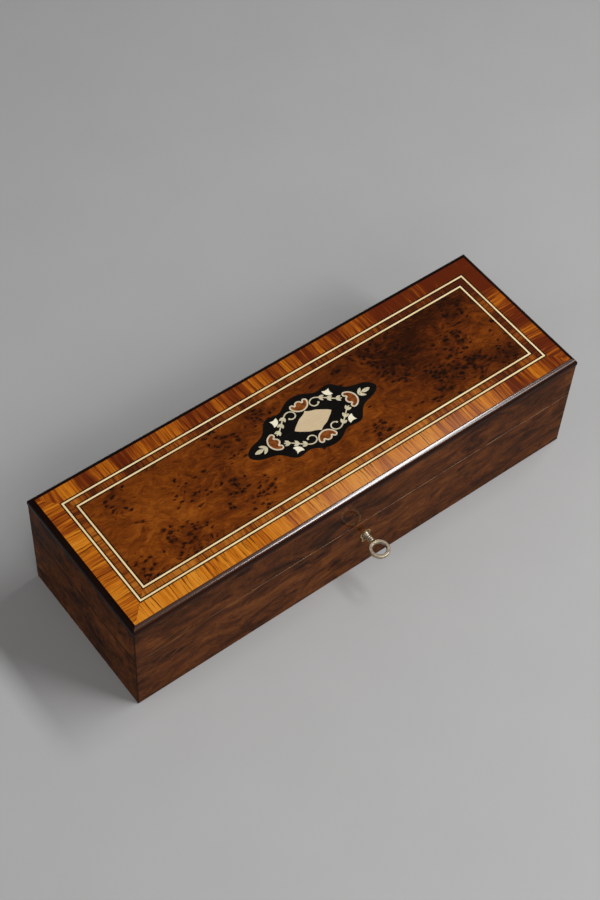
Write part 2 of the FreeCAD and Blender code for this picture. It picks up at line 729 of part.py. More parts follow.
link_pieces = [block("link_plate_bar", LOCK_X, LINK_DEPTH, LINK_Z)]
link_tools = [holes[("lock", "lid")]]
for side, middle in STAPLES.items():
    x = around(middle, "staple_thickness / 2")
    outside = from_front(*around(LOCK_MIDDLE, STAPLE_HALF))
    inside = from_front(*around(LOCK_MIDDLE, EYE_HALF))
    link_pieces.append(block(f"staple_{side}", x, outside, (STAPLE_FOOT, SEAM)))
    link_tools.append(block(f"staple_eye_{side}", x, inside, (EYE_FOOT, EYE_TOP)))
node(cut("lock_link_plate", fuse("link_plate_blank", link_pieces), link_tools), "lock_link_plate")


# Edge moulding: a mitred quarter round

def upper_outer_edge(base):
    """Picks the long upper edge on the outside of a mitred strip."""
    doc.recompute()
    longest = max(edge.Length for edge in base.Shape.Edges)
    height = base.Shape.BoundBox.ZMax

    def wanted(edge):
        return abs(edge.Length - longest) < 1e-6 and abs(edge.CenterOfMass.z - height) < 1e-6

    return wanted


MOULDING_DEPTH = ("-moulding_proud", "moulding_width")
MOULDING_ROUND = "(moulding_width + moulding_proud - moulding_flat)"
for side in TURN:
    strip = mitred(f"moulding_strip_{side}", side, MOULDING_DEPTH, (MOULDING_FOOT, "case_height"))
    quarter_round = [(MOULDING_ROUND, upper_outer_edge(strip))]
    node(rounded(f"edge_moulding_{side}", strip, quarter_round), f"edge_moulding_{side}")


# Banding and stringing, each ring inside the one before

VENEER_Z = (TOP_GROUND, "case_height")
RINGS = [
    ("outer_crossband", "crossband_width"),
    ("stringing_dark", "dark_line_width"),
    ("stringing_pale", "pale_line_width"),
    ("stringing_dark", "dark_line_width"),
    ("inner_crossband", "inner_band_width"),
    ("stringing_dark", "dark_line_width"),
    ("stringing_pale", "pale_line_width"),
    ("stringing_dark", "dark_line_width"),
]
strips = {}
depth = "moulding_width"
for count, (label, width) in enumerate(RINGS):
    inner = f"({depth} + {width})"
    strips.setdefault(label, []).extend(mitred_frame(f"{label}_{count}", (depth, inner), VENEER_Z))
    depth = inner
for label, pieces in strips.items():
    node(group(label, pieces), label)
FIELD_DEPTH = depth


# Cartouche: outlines of one quarter, drawn about its middle at the length and width below

DRAWN_LENGTH = 86.0
DRAWN_WIDTH = 38.6
GROUND_QUARTER = [
    (43.0, 0.0), (40.0, 4.0), (34.5, 6.0), (29.2, 7.8), (25.4, 11.6), (22.2, 14.8),
    (17.0, 15.0), (12.4, 14.7), (9.2, 16.2), (5.0, 18.5), (0.0, 19.3),
]
PLATE_QUARTER = [(12.5, 0.0), (10.4, 1.9), (8.2, 3.4), (5.5, 5.1), (2.5, 6.2), (0.0, 7.9)]
SHELL_HALF_SPAN = 5.9
SHELL_DROP = 3.6
SHELL_LOBE = [(2.5, 1.9), (4.6, 3.2), (5.9, 1.2)]
SHELL_CROWN = 3.7
SHELL_AT_END = 26.5
SHELL_AT_SIDE = 11.9
STEM = [(22.2, 3.2), (19.2, 4.9), (15.4, 8.2), (11.9, 11.0), (9.5, 12.3)]
STEM_WIDTH = 0.75
CURL_MIDDLE = (7.9, 9.7)
CURL_RADIUS = 2.5
CURL_ANGLES = (108, 150, 195, 240, 285, 325)
CURL_TIP_RADIUS = 0.62
LEAF_STEPS = (1, 2, 3)
LEAF_LENGTH = 3.4
LEAF_WIDTH = 1.6
LEAF_SPREAD = 30
FLOWER_AT = (18.0, 10.8)
FLOWER_RADIUS = 3.2
FLOWER_WAIST = 1.6
FLOWER_CUP = 1.8
FLOWER_TURN = 42
SPRIG_BASE = 31.0
SPRIG_TIP = (34.8, 3.0)
BUD_ENDS = (33.4, 39.2)
BUD_WIDTH = 2.5
SPRIG_LEAF_WIDTH = 1.8

stretch_x = size("cartouche_length") / DRAWN_LENGTH
stretch_y = size("cartouche_width") / DRAWN_WIDTH
inlay_foot = size(TOP_GROUND)
inlay_thickness = size("top_veneer_thickness")


def drawn(x, y):
    """A point of the drawing, in its place on the lid."""
    return FreeCAD.Vector(
        size("cartouche_shift_x") + x * stretch_x, size("cartouche_shift_y") + y * stretch_y, inlay_foot
    )


def inlay(edges):
    """A flat piece as thick as the lid's veneer, from the edges round it."""
    return Part.Face(Part.Wire(edges)).extrude(FreeCAD.Vector(0, 0, inlay_thickness))


def curve(points):
    line = Part.BSplineCurve()
    line.interpolate([drawn(*point) for point in points])
    return line.toShape()


def arc(start, middle, end):
    return Part.Arc(drawn(*start), drawn(*middle), drawn(*end)).toShape()


def four_ways(quarter):
    """One quarter of an outline, and its mirror images in drawing order."""
    backwards = quarter[::-1]
    return [
        quarter,
        [(-x, y) for x, y in backwards],
        [(-x, -y) for x, y in quarter],
        [(x, -y) for x, y in backwards],
    ]


def mirror_images(shape):
    """A shape in one quarter of the cartouche, and its images in the other three."""
    middle = drawn(0, 0)
    across = shape.mirror(middle, FreeCAD.Vector(1, 0, 0))
    return [shape, across] + [each.mirror(middle, FreeCAD.Vector(0, 1, 0)) for each in (shape, across)]


def ground_outline():
    points = [drawn(*point) for quarter in four_ways(GROUND_QUARTER) for point in quarter[:-1]]
    line = Part.BSplineCurve()
    line.interpolate(points, PeriodicFlag=True)
    return [line.toShape()]


def shell_outline(to_drawing):
    """A round back and three lobes. The placing turns it to its side of the cartouche."""
    dip, lobe, end = SHELL_LOBE

    def bend(*points):
        return arc(*[to_drawing(*point) for point in points])

    def mirrored(point):
        return (-point[0], point[1])

    return [
        bend(mirrored(end), (0, -SHELL_DROP), end),
        bend(end, lobe, dip),
        bend(dip, (0, SHELL_CROWN), mirrored(dip)),
        bend(mirrored(dip), mirrored(lobe), mirrored(end)),
    ]


SHELL_PLACES = [
    lambda u, v: (u, SHELL_AT_SIDE + v),
    lambda u, v: (-u, -SHELL_AT_SIDE - v),
    lambda u, v: (SHELL_AT_END - v, u),
    lambda u, v: (-SHELL_AT_END + v, -u),
]


def lens(start, angle, length, width):
    """A pointed leaf between two arcs."""
    along = (math.cos(math.radians(angle)), math.sin(math.radians(angle)))
    end = (start[0] + along[0] * length, start[1] + along[1] * length)
    middle = ((start[0] + end[0]) / 2, (start[1] + end[1]) / 2)
    lift = (-along[1] * width / 2, along[0] * width / 2)
    above = (middle[0] + lift[0], middle[1] + lift[1])
    below = (middle[0] - lift[0], middle[1] - lift[1])
    return inlay([arc(start, above, end), arc(end, below, start)])


def ribbon(path, width):
    """A strip of even width along a path of points."""
    sides = ([], [])
    for index, point in enumerate(path):
        before = path[max(index - 1, 0)]
        after = path[min(index + 1, len(path) - 1)]
        run = math.hypot(after[0] - before[0], after[1] - before[1])
        normal = ((before[1] - after[1]) / run, (after[0] - before[0]) / run)
        for side, sign in zip(sides, (1, -1)):
            side.append((point[0] + sign * normal[0] * width / 2, point[1] + sign * normal[1] * width / 2))
    left, right = sides
    cap_end = Part.LineSegment(drawn(*left[-1]), drawn(*right[-1])).toShape()
    cap_start = Part.LineSegment(drawn(*right[0]), drawn(*left[0])).toShape()
    return inlay([curve(left), cap_end, curve(right[::-1]), cap_start])


def disc(middle, radius):
    left = (middle[0] - radius, middle[1])
    right = (middle[0] + radius, middle[1])
    top = (middle[0], middle[1] + radius)
    foot = (middle[0], middle[1] - radius)
    return inlay([arc(left, top, right), arc(right, foot, left)])


def around_point(middle, radius, angle):
    turn = math.radians(angle)
    return (middle[0] + radius * math.cos(turn), middle[1] + radius * math.sin(turn))


def scroll():
    """A stem that ends in a curl, with pairs of leaves that point back to the shell at the end."""
    path = STEM + [around_point(CURL_MIDDLE, CURL_RADIUS, angle) for angle in CURL_ANGLES]
    shape = ribbon(path, STEM_WIDTH).fuse(disc(path[-1], CURL_TIP_RADIUS))
    for step in LEAF_STEPS:
        here, back = STEM[step], STEM[step - 1]
        heading = math.degrees(math.atan2(back[1] - here[1], back[0] - here[0]))
        for spread in (-LEAF_SPREAD, LEAF_SPREAD):
            shape = shape.fuse(lens(here, heading + spread, LEAF_LENGTH, LEAF_WIDTH))
    return shape.removeSplitter()


def flower():
    """A round cup with three pointed petals that open to the outside of the cartouche."""
    low, middle, high = (around_point(FLOWER_AT, FLOWER_RADIUS, FLOWER_TURN + turn) for turn in (-90, 0, 90))
    low_waist, high_waist = (around_point(FLOWER_AT, FLOWER_WAIST, FLOWER_TURN + turn) for turn in (-45, 45))
    cup = around_point(FLOWER_AT, FLOWER_CUP, FLOWER_TURN + 180)
    return inlay([arc(low, low_waist, middle), arc(middle, high_waist, high), arc(high, cup, low)])


def sprig():
    """Two side leaves and a bud at the pointed end."""
    base = (SPRIG_BASE, 0)
    reach = math.hypot(SPRIG_TIP[0] - SPRIG_BASE, SPRIG_TIP[1])
    lean = math.degrees(math.atan2(SPRIG_TIP[1], SPRIG_TIP[0] - SPRIG_BASE))
    shape = lens((BUD_ENDS[0], 0), 0, BUD_ENDS[1] - BUD_ENDS[0], BUD_WIDTH)
    shape = shape.fuse(lens(base, 0, BUD_ENDS[0] - SPRIG_BASE + BUD_WIDTH / 2, BUD_WIDTH / 2))
    for way in (-lean, lean):
        shape = shape.fuse(lens(base, way, reach, SPRIG_LEAF_WIDTH))
    return shape.removeSplitter()


plate_shape = inlay([curve(quarter) for quarter in four_ways(PLATE_QUARTER)])
shell_shapes = []
rim_shapes = []
for shell_place in SHELL_PLACES:
    outline = Part.Face(Part.Wire(shell_outline(shell_place)))
    middle_face = outline.makeOffset2D(-size("shell_rim_width"))
    rise = FreeCAD.Vector(0, 0, inlay_thickness)
    shell_shapes.append(middle_face.extrude(rise))
    rim_shapes.append(outline.cut(middle_face).extrude(rise))
one_sprig = sprig()
scroll_shapes = mirror_images(scroll()) + [one_sprig, one_sprig.mirror(drawn(0, 0), FreeCAD.Vector(1, 0, 0))]
flower_shapes = mirror_images(flower())

inlays = {
    "cartouche_plate": [plate_shape],
    "cartouche_shells": shell_shapes,
    "cartouche_shell_rims": rim_shapes,
    "cartouche_scrolls": scroll_shapes,
    "cartouche_flowers": flower_shapes,
}
ground_shape = inlay(ground_outline())
ground_blank = solid("cartouche_ground_blank", ground_shape)
inlay_objects = []
for label, shapes in inlays.items():
    inlay_objects.append(node(solid(label, Part.makeCompound(shapes)), label))
ground_cut = ground_shape
for shapes in inlays.values():
    ground_cut = ground_cut.cut(shapes)
node(solid("cartouche_ground", ground_cut), "cartouche_ground")

field = block(
    "burr_field_sheet",
    (inward("left", FIELD_DEPTH), inward("right", FIELD_DEPTH)),
    (inward("front", FIELD_DEPTH), inward("back", FIELD_DEPTH)),
    VENEER_Z,
)
node(cut("burr_field", field, [ground_blank]), "burr_field")


# Padded lid lining: a crowned cushion under the top panel, its long sides drawn in

PAD_STATIONS = (-1.0, -0.9, -0.5, 0.0, 0.5, 0.9, 1.0)


def pad_section(share, half_length, half_width):
    """A cut across the pad at a share of its half length."""
    top = size(PANEL_FOOT)
    side = half_width - size("pad_draw_in") * (1 - share ** 2)
    edge = top - size("pad_edge_thickness")
    end_crown = size("pad_end_crown")
    crown = end_crown + (size("pad_crown") - end_crown) * (1 - share ** 4)
    x = share * half_length
    corner = [
        FreeCAD.Vector(x, -side, top),
        FreeCAD.Vector(x, side, top),
        FreeCAD.Vector(x, side, edge),
        FreeCAD.Vector(x, -side, edge),
    ]
    low = FreeCAD.Vector(x, 0, edge - crown)
    return Part.Wire([
        Part.LineSegment(corner[0], corner[1]).toShape(),
        Part.LineSegment(corner[1], corner[2]).toShape(),
        Part.Arc(corner[2], low, corner[3]).toShape(),
        Part.LineSegment(corner[3], corner[0]).toShape(),
    ])


pad_half_length = size(f"{HALF_LENGTH} - {LID_WALL_DEPTH} - pad_clearance")
pad_half_width = size(f"{HALF_WIDTH} - {LID_WALL_DEPTH} - pad_clearance")
pad_wires = [pad_section(share, pad_half_length, pad_half_width) for share in PAD_STATIONS]
node(solid("lid_lining_pad", Part.makeLoft(pad_wires, True, False)), "lid_lining_pad")


# Checks, then one file for each piece

doc.recompute()
for obj in doc.Objects:
    if "Invalid" in obj.State or "Error" in obj.State:
        raise RuntimeError(f"{obj.Label} failed: {obj.State}")
for obj in NODES:
    if obj.Shape.isNull() or not obj.Shape.isValid() or not obj.Shape.Solids:
        raise RuntimeError(f"{obj.Label} has no valid solid")
os.makedirs("parts", exist_ok=True)
for obj in NODES:
    obj.Shape.exportStep(f"parts/{obj.Label}.step")
    print(obj.Label, len(obj.Shape.Solids), "solids", round(obj.Shape.Volume, 1), "mm3")
print(len(NODES), "nodes")
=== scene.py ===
# %% [markdown]
# # Dressing an inlaid pen case
# The case is a long veneered box with a hinged lid, a small lock with its key, and a lined tray inside.
# Its wood, brass and lining come in here as plain shapes of the right size. This lesson gives each of them
# the finish of the real thing, and makes the soft pieces that plain solids can't show.

# %% Load the shapes
import math

import bmesh
import bpy
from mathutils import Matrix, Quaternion, Vector, noise


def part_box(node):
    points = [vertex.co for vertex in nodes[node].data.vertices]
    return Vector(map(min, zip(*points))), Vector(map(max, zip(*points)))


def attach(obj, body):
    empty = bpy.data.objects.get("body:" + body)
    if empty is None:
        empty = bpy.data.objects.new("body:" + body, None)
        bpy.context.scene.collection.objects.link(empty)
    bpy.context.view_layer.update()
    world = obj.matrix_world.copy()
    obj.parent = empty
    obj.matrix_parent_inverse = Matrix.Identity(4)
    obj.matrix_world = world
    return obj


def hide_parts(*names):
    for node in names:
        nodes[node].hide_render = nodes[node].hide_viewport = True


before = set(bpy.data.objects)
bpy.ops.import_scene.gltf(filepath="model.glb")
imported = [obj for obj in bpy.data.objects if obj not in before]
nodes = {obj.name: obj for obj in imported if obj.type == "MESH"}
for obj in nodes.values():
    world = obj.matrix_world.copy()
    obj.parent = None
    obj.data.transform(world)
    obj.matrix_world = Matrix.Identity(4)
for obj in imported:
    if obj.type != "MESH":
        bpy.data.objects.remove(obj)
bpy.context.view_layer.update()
scene = bpy.context.scene
scene.view_settings.view_transform = "Standard"
MM = 0.001

# %% [markdown]
# ## The camera
# The picture looks down on the lid from the front left. The place and the lens come from lining up the
# corners of the box, so they are written as numbers. A camera could also be aimed with a Track To constraint,
# but a plain rotation keeps the slight tilt of the horizon.

# %% Set the camera
PICTURE_LONG_SIDE = 900
FOCAL_PIXELS = 1808.6
SENSOR_MM = 36.0
CAMERA_AT = Vector((-0.38348, -0.44215, 0.86042))
VIEW_AZIMUTH = math.radians(-40.38)
VIEW_ELEVATION = math.radians(54.06)
VIEW_ROLL = math.radians(3.89)

towards_camera = Vector((
    math.sin(VIEW_AZIMUTH) * math.cos(VIEW_ELEVATION),
    -math.cos(VIEW_AZIMUTH) * math.cos(VIEW_ELEVATION),
    math.sin(VIEW_ELEVATION),
))
camera_data = bpy.data.cameras.new("case_camera")
camera_data.sensor_width = SENSOR_MM
camera_data.lens = FOCAL_PIXELS / PICTURE_LONG_SIDE * SENSOR_MM
camera = bpy.data.objects.new("case_camera", camera_data)
camera.rotation_mode = "QUATERNION"
camera.location = CAMERA_AT
camera.rotation_quaternion = (-towards_camera).to_track_quat("-Z", "Y") @ Quaternion((0, 0, 1), VIEW_ROLL)
scene.collection.objects.link(camera)
scene.camera = camera
print("lens", round(camera_data.lens, 2), "mm")

# %% [markdown]
# ## Floor and light
# A pale floor and a few large soft lamps stand in for a small studio. Polished wood shows what it reflects, so
# the lamps are placed for their reflections first: a long strip high on the right draws the bright line along
# the front edge, and a wide one in front fills the shadows. Nothing bright stands where the lid mirrors it.

# %% Lay the floor and set the lamps
FLOOR_SIZE = 6.0
FLOOR_COLOUR = (0.46, 0.46, 0.46, 1)


def lay_floor():
    bpy.ops.mesh.primitive_plane_add(size=FLOOR_SIZE, location=(0, 0, 0))
    floor = bpy.context.object
    floor.name = "studio_floor"
    return floor


def hang_lamp(name, size, power, at, aim):
    data = bpy.data.lights.new(name, "AREA")
    data.shape = "RECTANGLE"
    data.size, data.size_y = size
    data.energy = power
    lamp = bpy.data.objects.new(name, data)
    lamp.location = at
    lamp.rotation_mode = "QUATERNION"
    lamp.rotation_quaternion = (Vector(aim) - Vector(at)).to_track_quat("-Z", "Y")
    scene.collection.objects.link(lamp)
    return lamp


floor = lay_floor()
LID_MIDDLE = (0, 0, 0.075)
hang_lamp("key_strip", (1.6, 0.20), 18, (0.66, -0.62, 1.35), (0, -0.62, 0.075))
hang_lamp("edge_softbox", (0.5, 0.6), 5, (0.78, -1.15, 1.15), LID_MIDDLE)
hang_lamp("front_softbox", (1.4, 0.9), 9, (-0.6, -1.5, 1.2), LID_MIDDLE)
hang_lamp("side_softbox", (0.9, 0.9), 4, (-1.6, 0.2, 0.9), LID_MIDDLE)

world = bpy.data.worlds.new("studio_air")
world.use_nodes = True
scene.world = world
AIR_COLOUR = (1.0, 0.98, 0.95, 1)
AIR_STRENGTH = 0.12
background = world.node_tree.nodes["Background"]
background.inputs["Color"].default_value = AIR_COLOUR
background.inputs["Strength"].default_value = AIR_STRENGTH

# %% [markdown]
# ## Short ways to build materials
# Materials are networks of nodes. Writing each node out takes three or four lines, so a few helpers shorten
# that: one adds a node and fills its sockets, others do sums, mix colours and set gradients. All patterns are
# measured in millimetres from the middle of the case, so a stripe has the same size on every piece.

# %% Helpers for node networks
def put(tree, kind, sockets=None, **options):
    """Adds a node. Sockets take a value or the output of another node."""
    node = tree.nodes.new(kind)
    for name, value in options.items():
        setattr(node, name, value)
    for key, value in (sockets or {}).items():
        if isinstance(value, bpy.types.NodeSocket):
            tree.links.new(value, node.inputs[key])
        else:
            node.inputs[key].default_value = value
    return node


def calc(tree, operation, *values):
    return put(tree, "ShaderNodeMath", dict(enumerate(values)), operation=operation).outputs[0]


def mix(tree, share, first, second, way="MIX"):
    sockets = {0: share, 6: first, 7: second}
    return put(tree, "ShaderNodeMix", sockets, data_type="RGBA", blend_type=way).outputs[2]


def smooth(tree, value, low, high, to_low=0.0, to_high=1.0):
    """Carries a value from one range to another with soft ends."""
    sockets = {0: value, 1: low, 2: high, 3: to_low, 4: to_high}
    return put(tree, "ShaderNodeMapRange", sockets, interpolation_type="SMOOTHSTEP").outputs[0]


def gradient(tree, value, stops):
    node = put(tree, "ShaderNodeValToRGB", {0: value})
    elements = node.color_ramp.elements
    while len(elements) < len(stops):
        elements.new(0.5)
    for element, (place, colour) in zip(elements, stops):
        element.position = place
        element.color = (*colour, 1)
    return node.outputs["Color"]


def cloud(tree, vector, scale, detail=2.0, roughness=0.5, distortion=0.0, output="Fac"):
    sockets = {"Vector": vector, "Scale": scale, "Detail": detail, "Roughness": roughness, "Distortion": distortion}
    return put(tree, "ShaderNodeTexNoise", sockets).outputs[output]


def stretch(tree, vector, scale=(1, 1, 1), turn=(0, 0, 0), shift=(0, 0, 0)):
    turn = tuple(math.radians(angle) for angle in turn)
    sockets = {"Vector": vector, "Scale": scale, "Rotation": turn, "Location": shift}
    return put(tree, "ShaderNodeMapping", sockets).outputs[0]


def vector_sum(tree, operation, first, second):
    return put(tree, "ShaderNodeVectorMath", {0: first, 1: second}, operation=operation).outputs[0]


def in_millimetres(tree):
    place = put(tree, "ShaderNodeTexCoord").outputs["Object"]
    return vector_sum(tree, "MULTIPLY", place, (1000, 1000, 1000))


def axes(tree, vector):
    return put(tree, "ShaderNodeSeparateXYZ", {0: vector}).outputs


def new_group(name, inputs, outputs):
    """A shared node group with named sockets. Returns its tree, its input sockets and its output node."""
    tree = bpy.data.node_groups.new(name, "ShaderNodeTree")
    for socket, (kind, value) in inputs.items():
        made = tree.interface.new_socket(socket, in_out="INPUT", socket_type=kind)
        if value is not None:
            made.default_value = value
    for socket, kind in outputs.items():
        tree.interface.new_socket(socket, in_out="OUTPUT", socket_type=kind)
    return tree, tree.nodes.new("NodeGroupInput").outputs, tree.nodes.new("NodeGroupOutput").inputs


def use_group(tree, group, **sockets):
    node = tree.nodes.new("ShaderNodeGroup")
    node.node_tree = group
    for key, value in sockets.items():
        socket = node.inputs[key.replace("_", " ")]
        if isinstance(value, bpy.types.NodeSocket):
            tree.links.new(value, socket)
        else:
            socket.default_value = value
    return node.outputs


def new_material(name, **constants):
    """A material with its Principled shader. Constants go straight to the shader's sockets."""
    made = bpy.data.materials.new(name)
    made.use_nodes = True
    shader = made.node_tree.nodes["Principled BSDF"]
    for key, value in constants.items():
        shader.inputs[key.replace("_", " ")].default_value = value
    return made, made.node_tree, shader


def dress(finish, *names):
    for name in names:
        slots = nodes[name].data.materials
        slots.clear()
        slots.append(finish)


FLOAT = "NodeSocketFloat"
VECTOR = "NodeSocketVector"
print("helpers ready")

# %% [markdown]
# The floor gets a faint mottle, so that it isn't one flat colour.

# %% Finish the floor
def floor_finish():
    made, tree, shader = new_material("pale_floor", Roughness=0.85)
    mottle = cloud(tree, in_millimetres(tree), 0.02, 5)
    dark = tuple(0.93 * part for part in FLOOR_COLOUR[:3]) + (1,)
    tree.links.new(mix(tree, mottle, dark, FLOOR_COLOUR), shader.inputs["Base Color"])
    return made


floor.data.materials.append(floor_finish())
print("floor finished")

# %% [markdown]
# ## Effects that several finishes share
# Hand-polished wood is never evenly smooth: it has faint smears and fine scratches. Straight-grained wood
# shows long thin lines. Burr wood is made of knots, with dark eyes in clusters and grain that flows round
# them. Each effect is one node group, used with its own values in each wood.

# %% Polish: smears and fine scratches
def polish_group():
    inputs = {"Vector": (VECTOR, None), "Smear": (FLOAT, 0.1), "Base": (FLOAT, 0.2)}
    tree, given, result = new_group("hand_polish", inputs, {"Roughness": FLOAT})
    smears = cloud(tree, given["Vector"], 0.035, 3)
    scratches = cloud(tree, stretch(tree, given["Vector"], (0.06, 0.9, 0.9), (0, 0, 17)), 1.0, 2)
    marks = calc(tree, "ADD", calc(tree, "MULTIPLY", smears, 0.7), calc(tree, "MULTIPLY", scratches, 0.3))
    uneven = calc(tree, "MULTIPLY", calc(tree, "SUBTRACT", marks, 0.5), given["Smear"])
    tree.links.new(calc(tree, "ADD", given["Base"], uneven), result["Roughness"])
    return tree


hand_polish = polish_group()
print("made", hand_polish.name)

# %% Straight grain: long lines and pores along one direction
def grain_group():
    inputs = {"Along": (FLOAT, 0.0), "Across": (FLOAT, 0.0), "Depth": (FLOAT, 0.0), "Line Width": (FLOAT, 1.0)}
    tree, given, result = new_group("straight_grain", inputs, {"Tone": FLOAT, "Pores": FLOAT})
    across = calc(tree, "DIVIDE", given["Across"], given["Line Width"])
    deep = calc(tree, "DIVIDE", given["Depth"], given["Line Width"])
    along = calc(tree, "DIVIDE", given["Along"], calc(tree, "MULTIPLY", given["Line Width"], 26.0))
    place = put(tree, "ShaderNodeCombineXYZ", {0: along, 1: across, 2: deep}).outputs[0]
    lines = cloud(tree, place, 0.55, 4, 0.6, 0.25)
    pores = cloud(tree, place, 3.2, 2, 0.6)
    tree.links.new(smooth(tree, lines, 0.25, 0.75), result["Tone"])
    tree.links.new(smooth(tree, pores, 0.6, 0.74), result["Pores"])
    return tree


straight_grain = grain_group()
print("made", straight_grain.name)

# %% Burr: clusters of dark eyes in flowing grain
def burr_group():
    inputs = {
        "Vector": (VECTOR, None),
        "Eye Spacing": (FLOAT, 3.0),
        "Eye Share": (FLOAT, 0.3),
        "Flow Size": (FLOAT, 7.0),
        "Wisps": (FLOAT, 0.46),
    }
    tree, given, result = new_group("burr_figure", inputs, {"Tone": FLOAT, "Eyes": FLOAT, "Height": FLOAT})
    place = given["Vector"]
    drift = vector_sum(tree, "SUBTRACT", cloud(tree, place, 0.07, 2, output="Color"), (0.5, 0.5, 0.5))
    bent = vector_sum(tree, "ADD", place, vector_sum(tree, "MULTIPLY", drift, (16, 16, 16)))
    flow = cloud(tree, bent, calc(tree, "DIVIDE", 1.0, given["Flow Size"]), 5, 0.6, 1.2)
    fibre = cloud(tree, stretch(tree, bent, (0.24, 1.0, 1.0)), 1.2, 3, 0.62, 0.5)
    broad = cloud(tree, bent, 0.03, 3)
    tone = calc(tree, "MULTIPLY", flow, given["Wisps"])
    tone = calc(tree, "MULTIPLY_ADD", fibre, 0.26, tone)
    tone = calc(tree, "MULTIPLY_ADD", broad, calc(tree, "SUBTRACT", 0.74, given["Wisps"]), tone)

    ruffle = vector_sum(tree, "SUBTRACT", cloud(tree, place, 0.8, 2, output="Color"), (0.5, 0.5, 0.5))
    near = vector_sum(tree, "ADD", place, vector_sum(tree, "MULTIPLY", drift, (7, 7, 7)))
    near = vector_sum(tree, "ADD", near, vector_sum(tree, "MULTIPLY", ruffle, (1.7, 1.7, 1.7)))
    eye_scale = calc(tree, "DIVIDE", 1.0, given["Eye Spacing"])
    cells = put(tree, "ShaderNodeTexVoronoi", {"Vector": near, "Scale": eye_scale}).outputs
    size, chance, kind = axes(tree, cells["Color"])
    radius = calc(tree, "MULTIPLY_ADD", size, 0.30, 0.22)
    inside = smooth(tree, cells["Distance"], calc(tree, "MULTIPLY", radius, 0.7), radius, 1.0, 0.0)
    kept = smooth(tree, chance, calc(tree, "SUBTRACT", given["Eye Share"], 0.06), given["Eye Share"], 1.0, 0.0)
    core_start = calc(tree, "MULTIPLY", radius, 0.1)
    core_end = calc(tree, "MULTIPLY", radius, 0.5)
    core = smooth(tree, cells["Distance"], core_start, core_end)
    core = calc(tree, "MAXIMUM", core, smooth(tree, kind, 0.5, 0.6, 0.25, 1.0))
    eyes = calc(tree, "MULTIPLY", calc(tree, "MULTIPLY", inside, kept), core)
    halo_start = calc(tree, "MULTIPLY", radius, 0.7)
    halo_end = calc(tree, "MULTIPLY", radius, 2.0)
    halo = smooth(tree, cells["Distance"], halo_start, halo_end, 0.08, 0.0)
    tone = calc(tree, "SUBTRACT", tone, calc(tree, "MULTIPLY", halo, kept))
    tree.links.new(tone, result["Tone"])
    tree.links.new(eyes, result["Eyes"])
    tree.links.new(calc(tree, "SUBTRACT", fibre, eyes), result["Height"])
    return tree


burr_figure = burr_group()
print("made", burr_figure.name)

# %% [markdown]
# Bands and lines on the lid run round its four sides. Near the long sides the grain has to follow one
# direction and near the ends the other, meeting on the mitre at 45 degrees. This group tells how far a point
# is along its strip and across it, by comparing its distance from the nearest side and the nearest end.

# %% Directions along and across the strips of the lid
lid_low, lid_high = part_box("lid_top_panel")
HALF_LENGTH_MM = lid_high.x * 1000
HALF_WIDTH_MM = lid_high.y * 1000


def strip_group():
    inputs = {"Vector": (VECTOR, None)}
    outputs = {"Along": FLOAT, "Across": FLOAT}
    tree, given, result = new_group("strip_directions", inputs, outputs)
    x, y, _ = axes(tree, given["Vector"])
    from_end = calc(tree, "SUBTRACT", HALF_LENGTH_MM, calc(tree, "ABSOLUTE", x))
    from_side = calc(tree, "SUBTRACT", HALF_WIDTH_MM, calc(tree, "ABSOLUTE", y))
    at_end = calc(tree, "LESS_THAN", from_end, from_side)
    at_side = calc(tree, "SUBTRACT", 1.0, at_end)

    def chosen(at_the_end, at_the_side):
        end_part = calc(tree, "MULTIPLY", at_the_end, at_end)
        return calc(tree, "ADD", end_part, calc(tree, "MULTIPLY", at_the_side, at_side))

    far_end = calc(tree, "MULTIPLY", calc(tree, "SIGN", x), 400.0)
    far_side = calc(tree, "MULTIPLY", calc(tree, "SIGN", y), 900.0)
    tree.links.new(chosen(calc(tree, "ADD", y, far_end), calc(tree, "ADD", x, far_side)), result["Along"])
    tree.links.new(chosen(from_end, from_side), result["Across"])
    return tree


strip_directions = strip_group()
print("lid half sizes", round(HALF_LENGTH_MM, 1), round(HALF_WIDTH_MM, 1))

# %% [markdown]
# Where two veneers meet, old glue and dirt have crept in and darkened the wood beside the joint. Without that
# the inlay looks printed. This group gives a thin soft line at one distance from the moulding.

# %% Glue lines beside the joints
def glue_group():
    inputs = {"Across": (FLOAT, 0.0), "Joint": (FLOAT, 0.0)}
    tree, given, result = new_group("glue_line", inputs, {"Mask": FLOAT})
    away = calc(tree, "ABSOLUTE", calc(tree, "SUBTRACT", given["Across"], given["Joint"]))
    tree.links.new(smooth(tree, away, 0.12, 0.42, 0.9, 0.0), result["Mask"])
    return tree


glue_line = glue_group()
GLUE_COLOUR = (0.008, 0.0035, 0.002, 1)


def joint_depth(name):
    """How far inside the moulding the outer edge of a ring of veneer lies, in millimetres."""
    return HALF_WIDTH_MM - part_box(name)[1].y * 1000


print("made", glue_line.name, "field starts", round(joint_depth("burr_field"), 2), "mm in")

# %% [markdown]
# ## The burr field of the lid
# The middle of the lid is burr veneer under thin polish: orange brown and calm on the left, darker and full
# of eyes on the right. The veneer could be a photograph on the surface, but noise patterns give the same
# figure at any size. A clear coat on the shader makes the polish.

# %% Burr veneer on the lid
EYE_CLUSTERS = [
    (-78, 2, 13), (-52, -15, 15), (-98, -20, 16), (-46, 17, 12), (-112, 20, 10), (30, -24, 10), (62, 8, 12),
    (78, 17, 13), (86, -13, 15), (101, 1, 11), (104, -20, 13), (120, -22, 9), (116, 20, 10), (-20, 24, 9),
    (58, 24, 13), (-122, -25, 15),
]


EYE_COLOUR = (0.0085, 0.0030, 0.0013, 1)


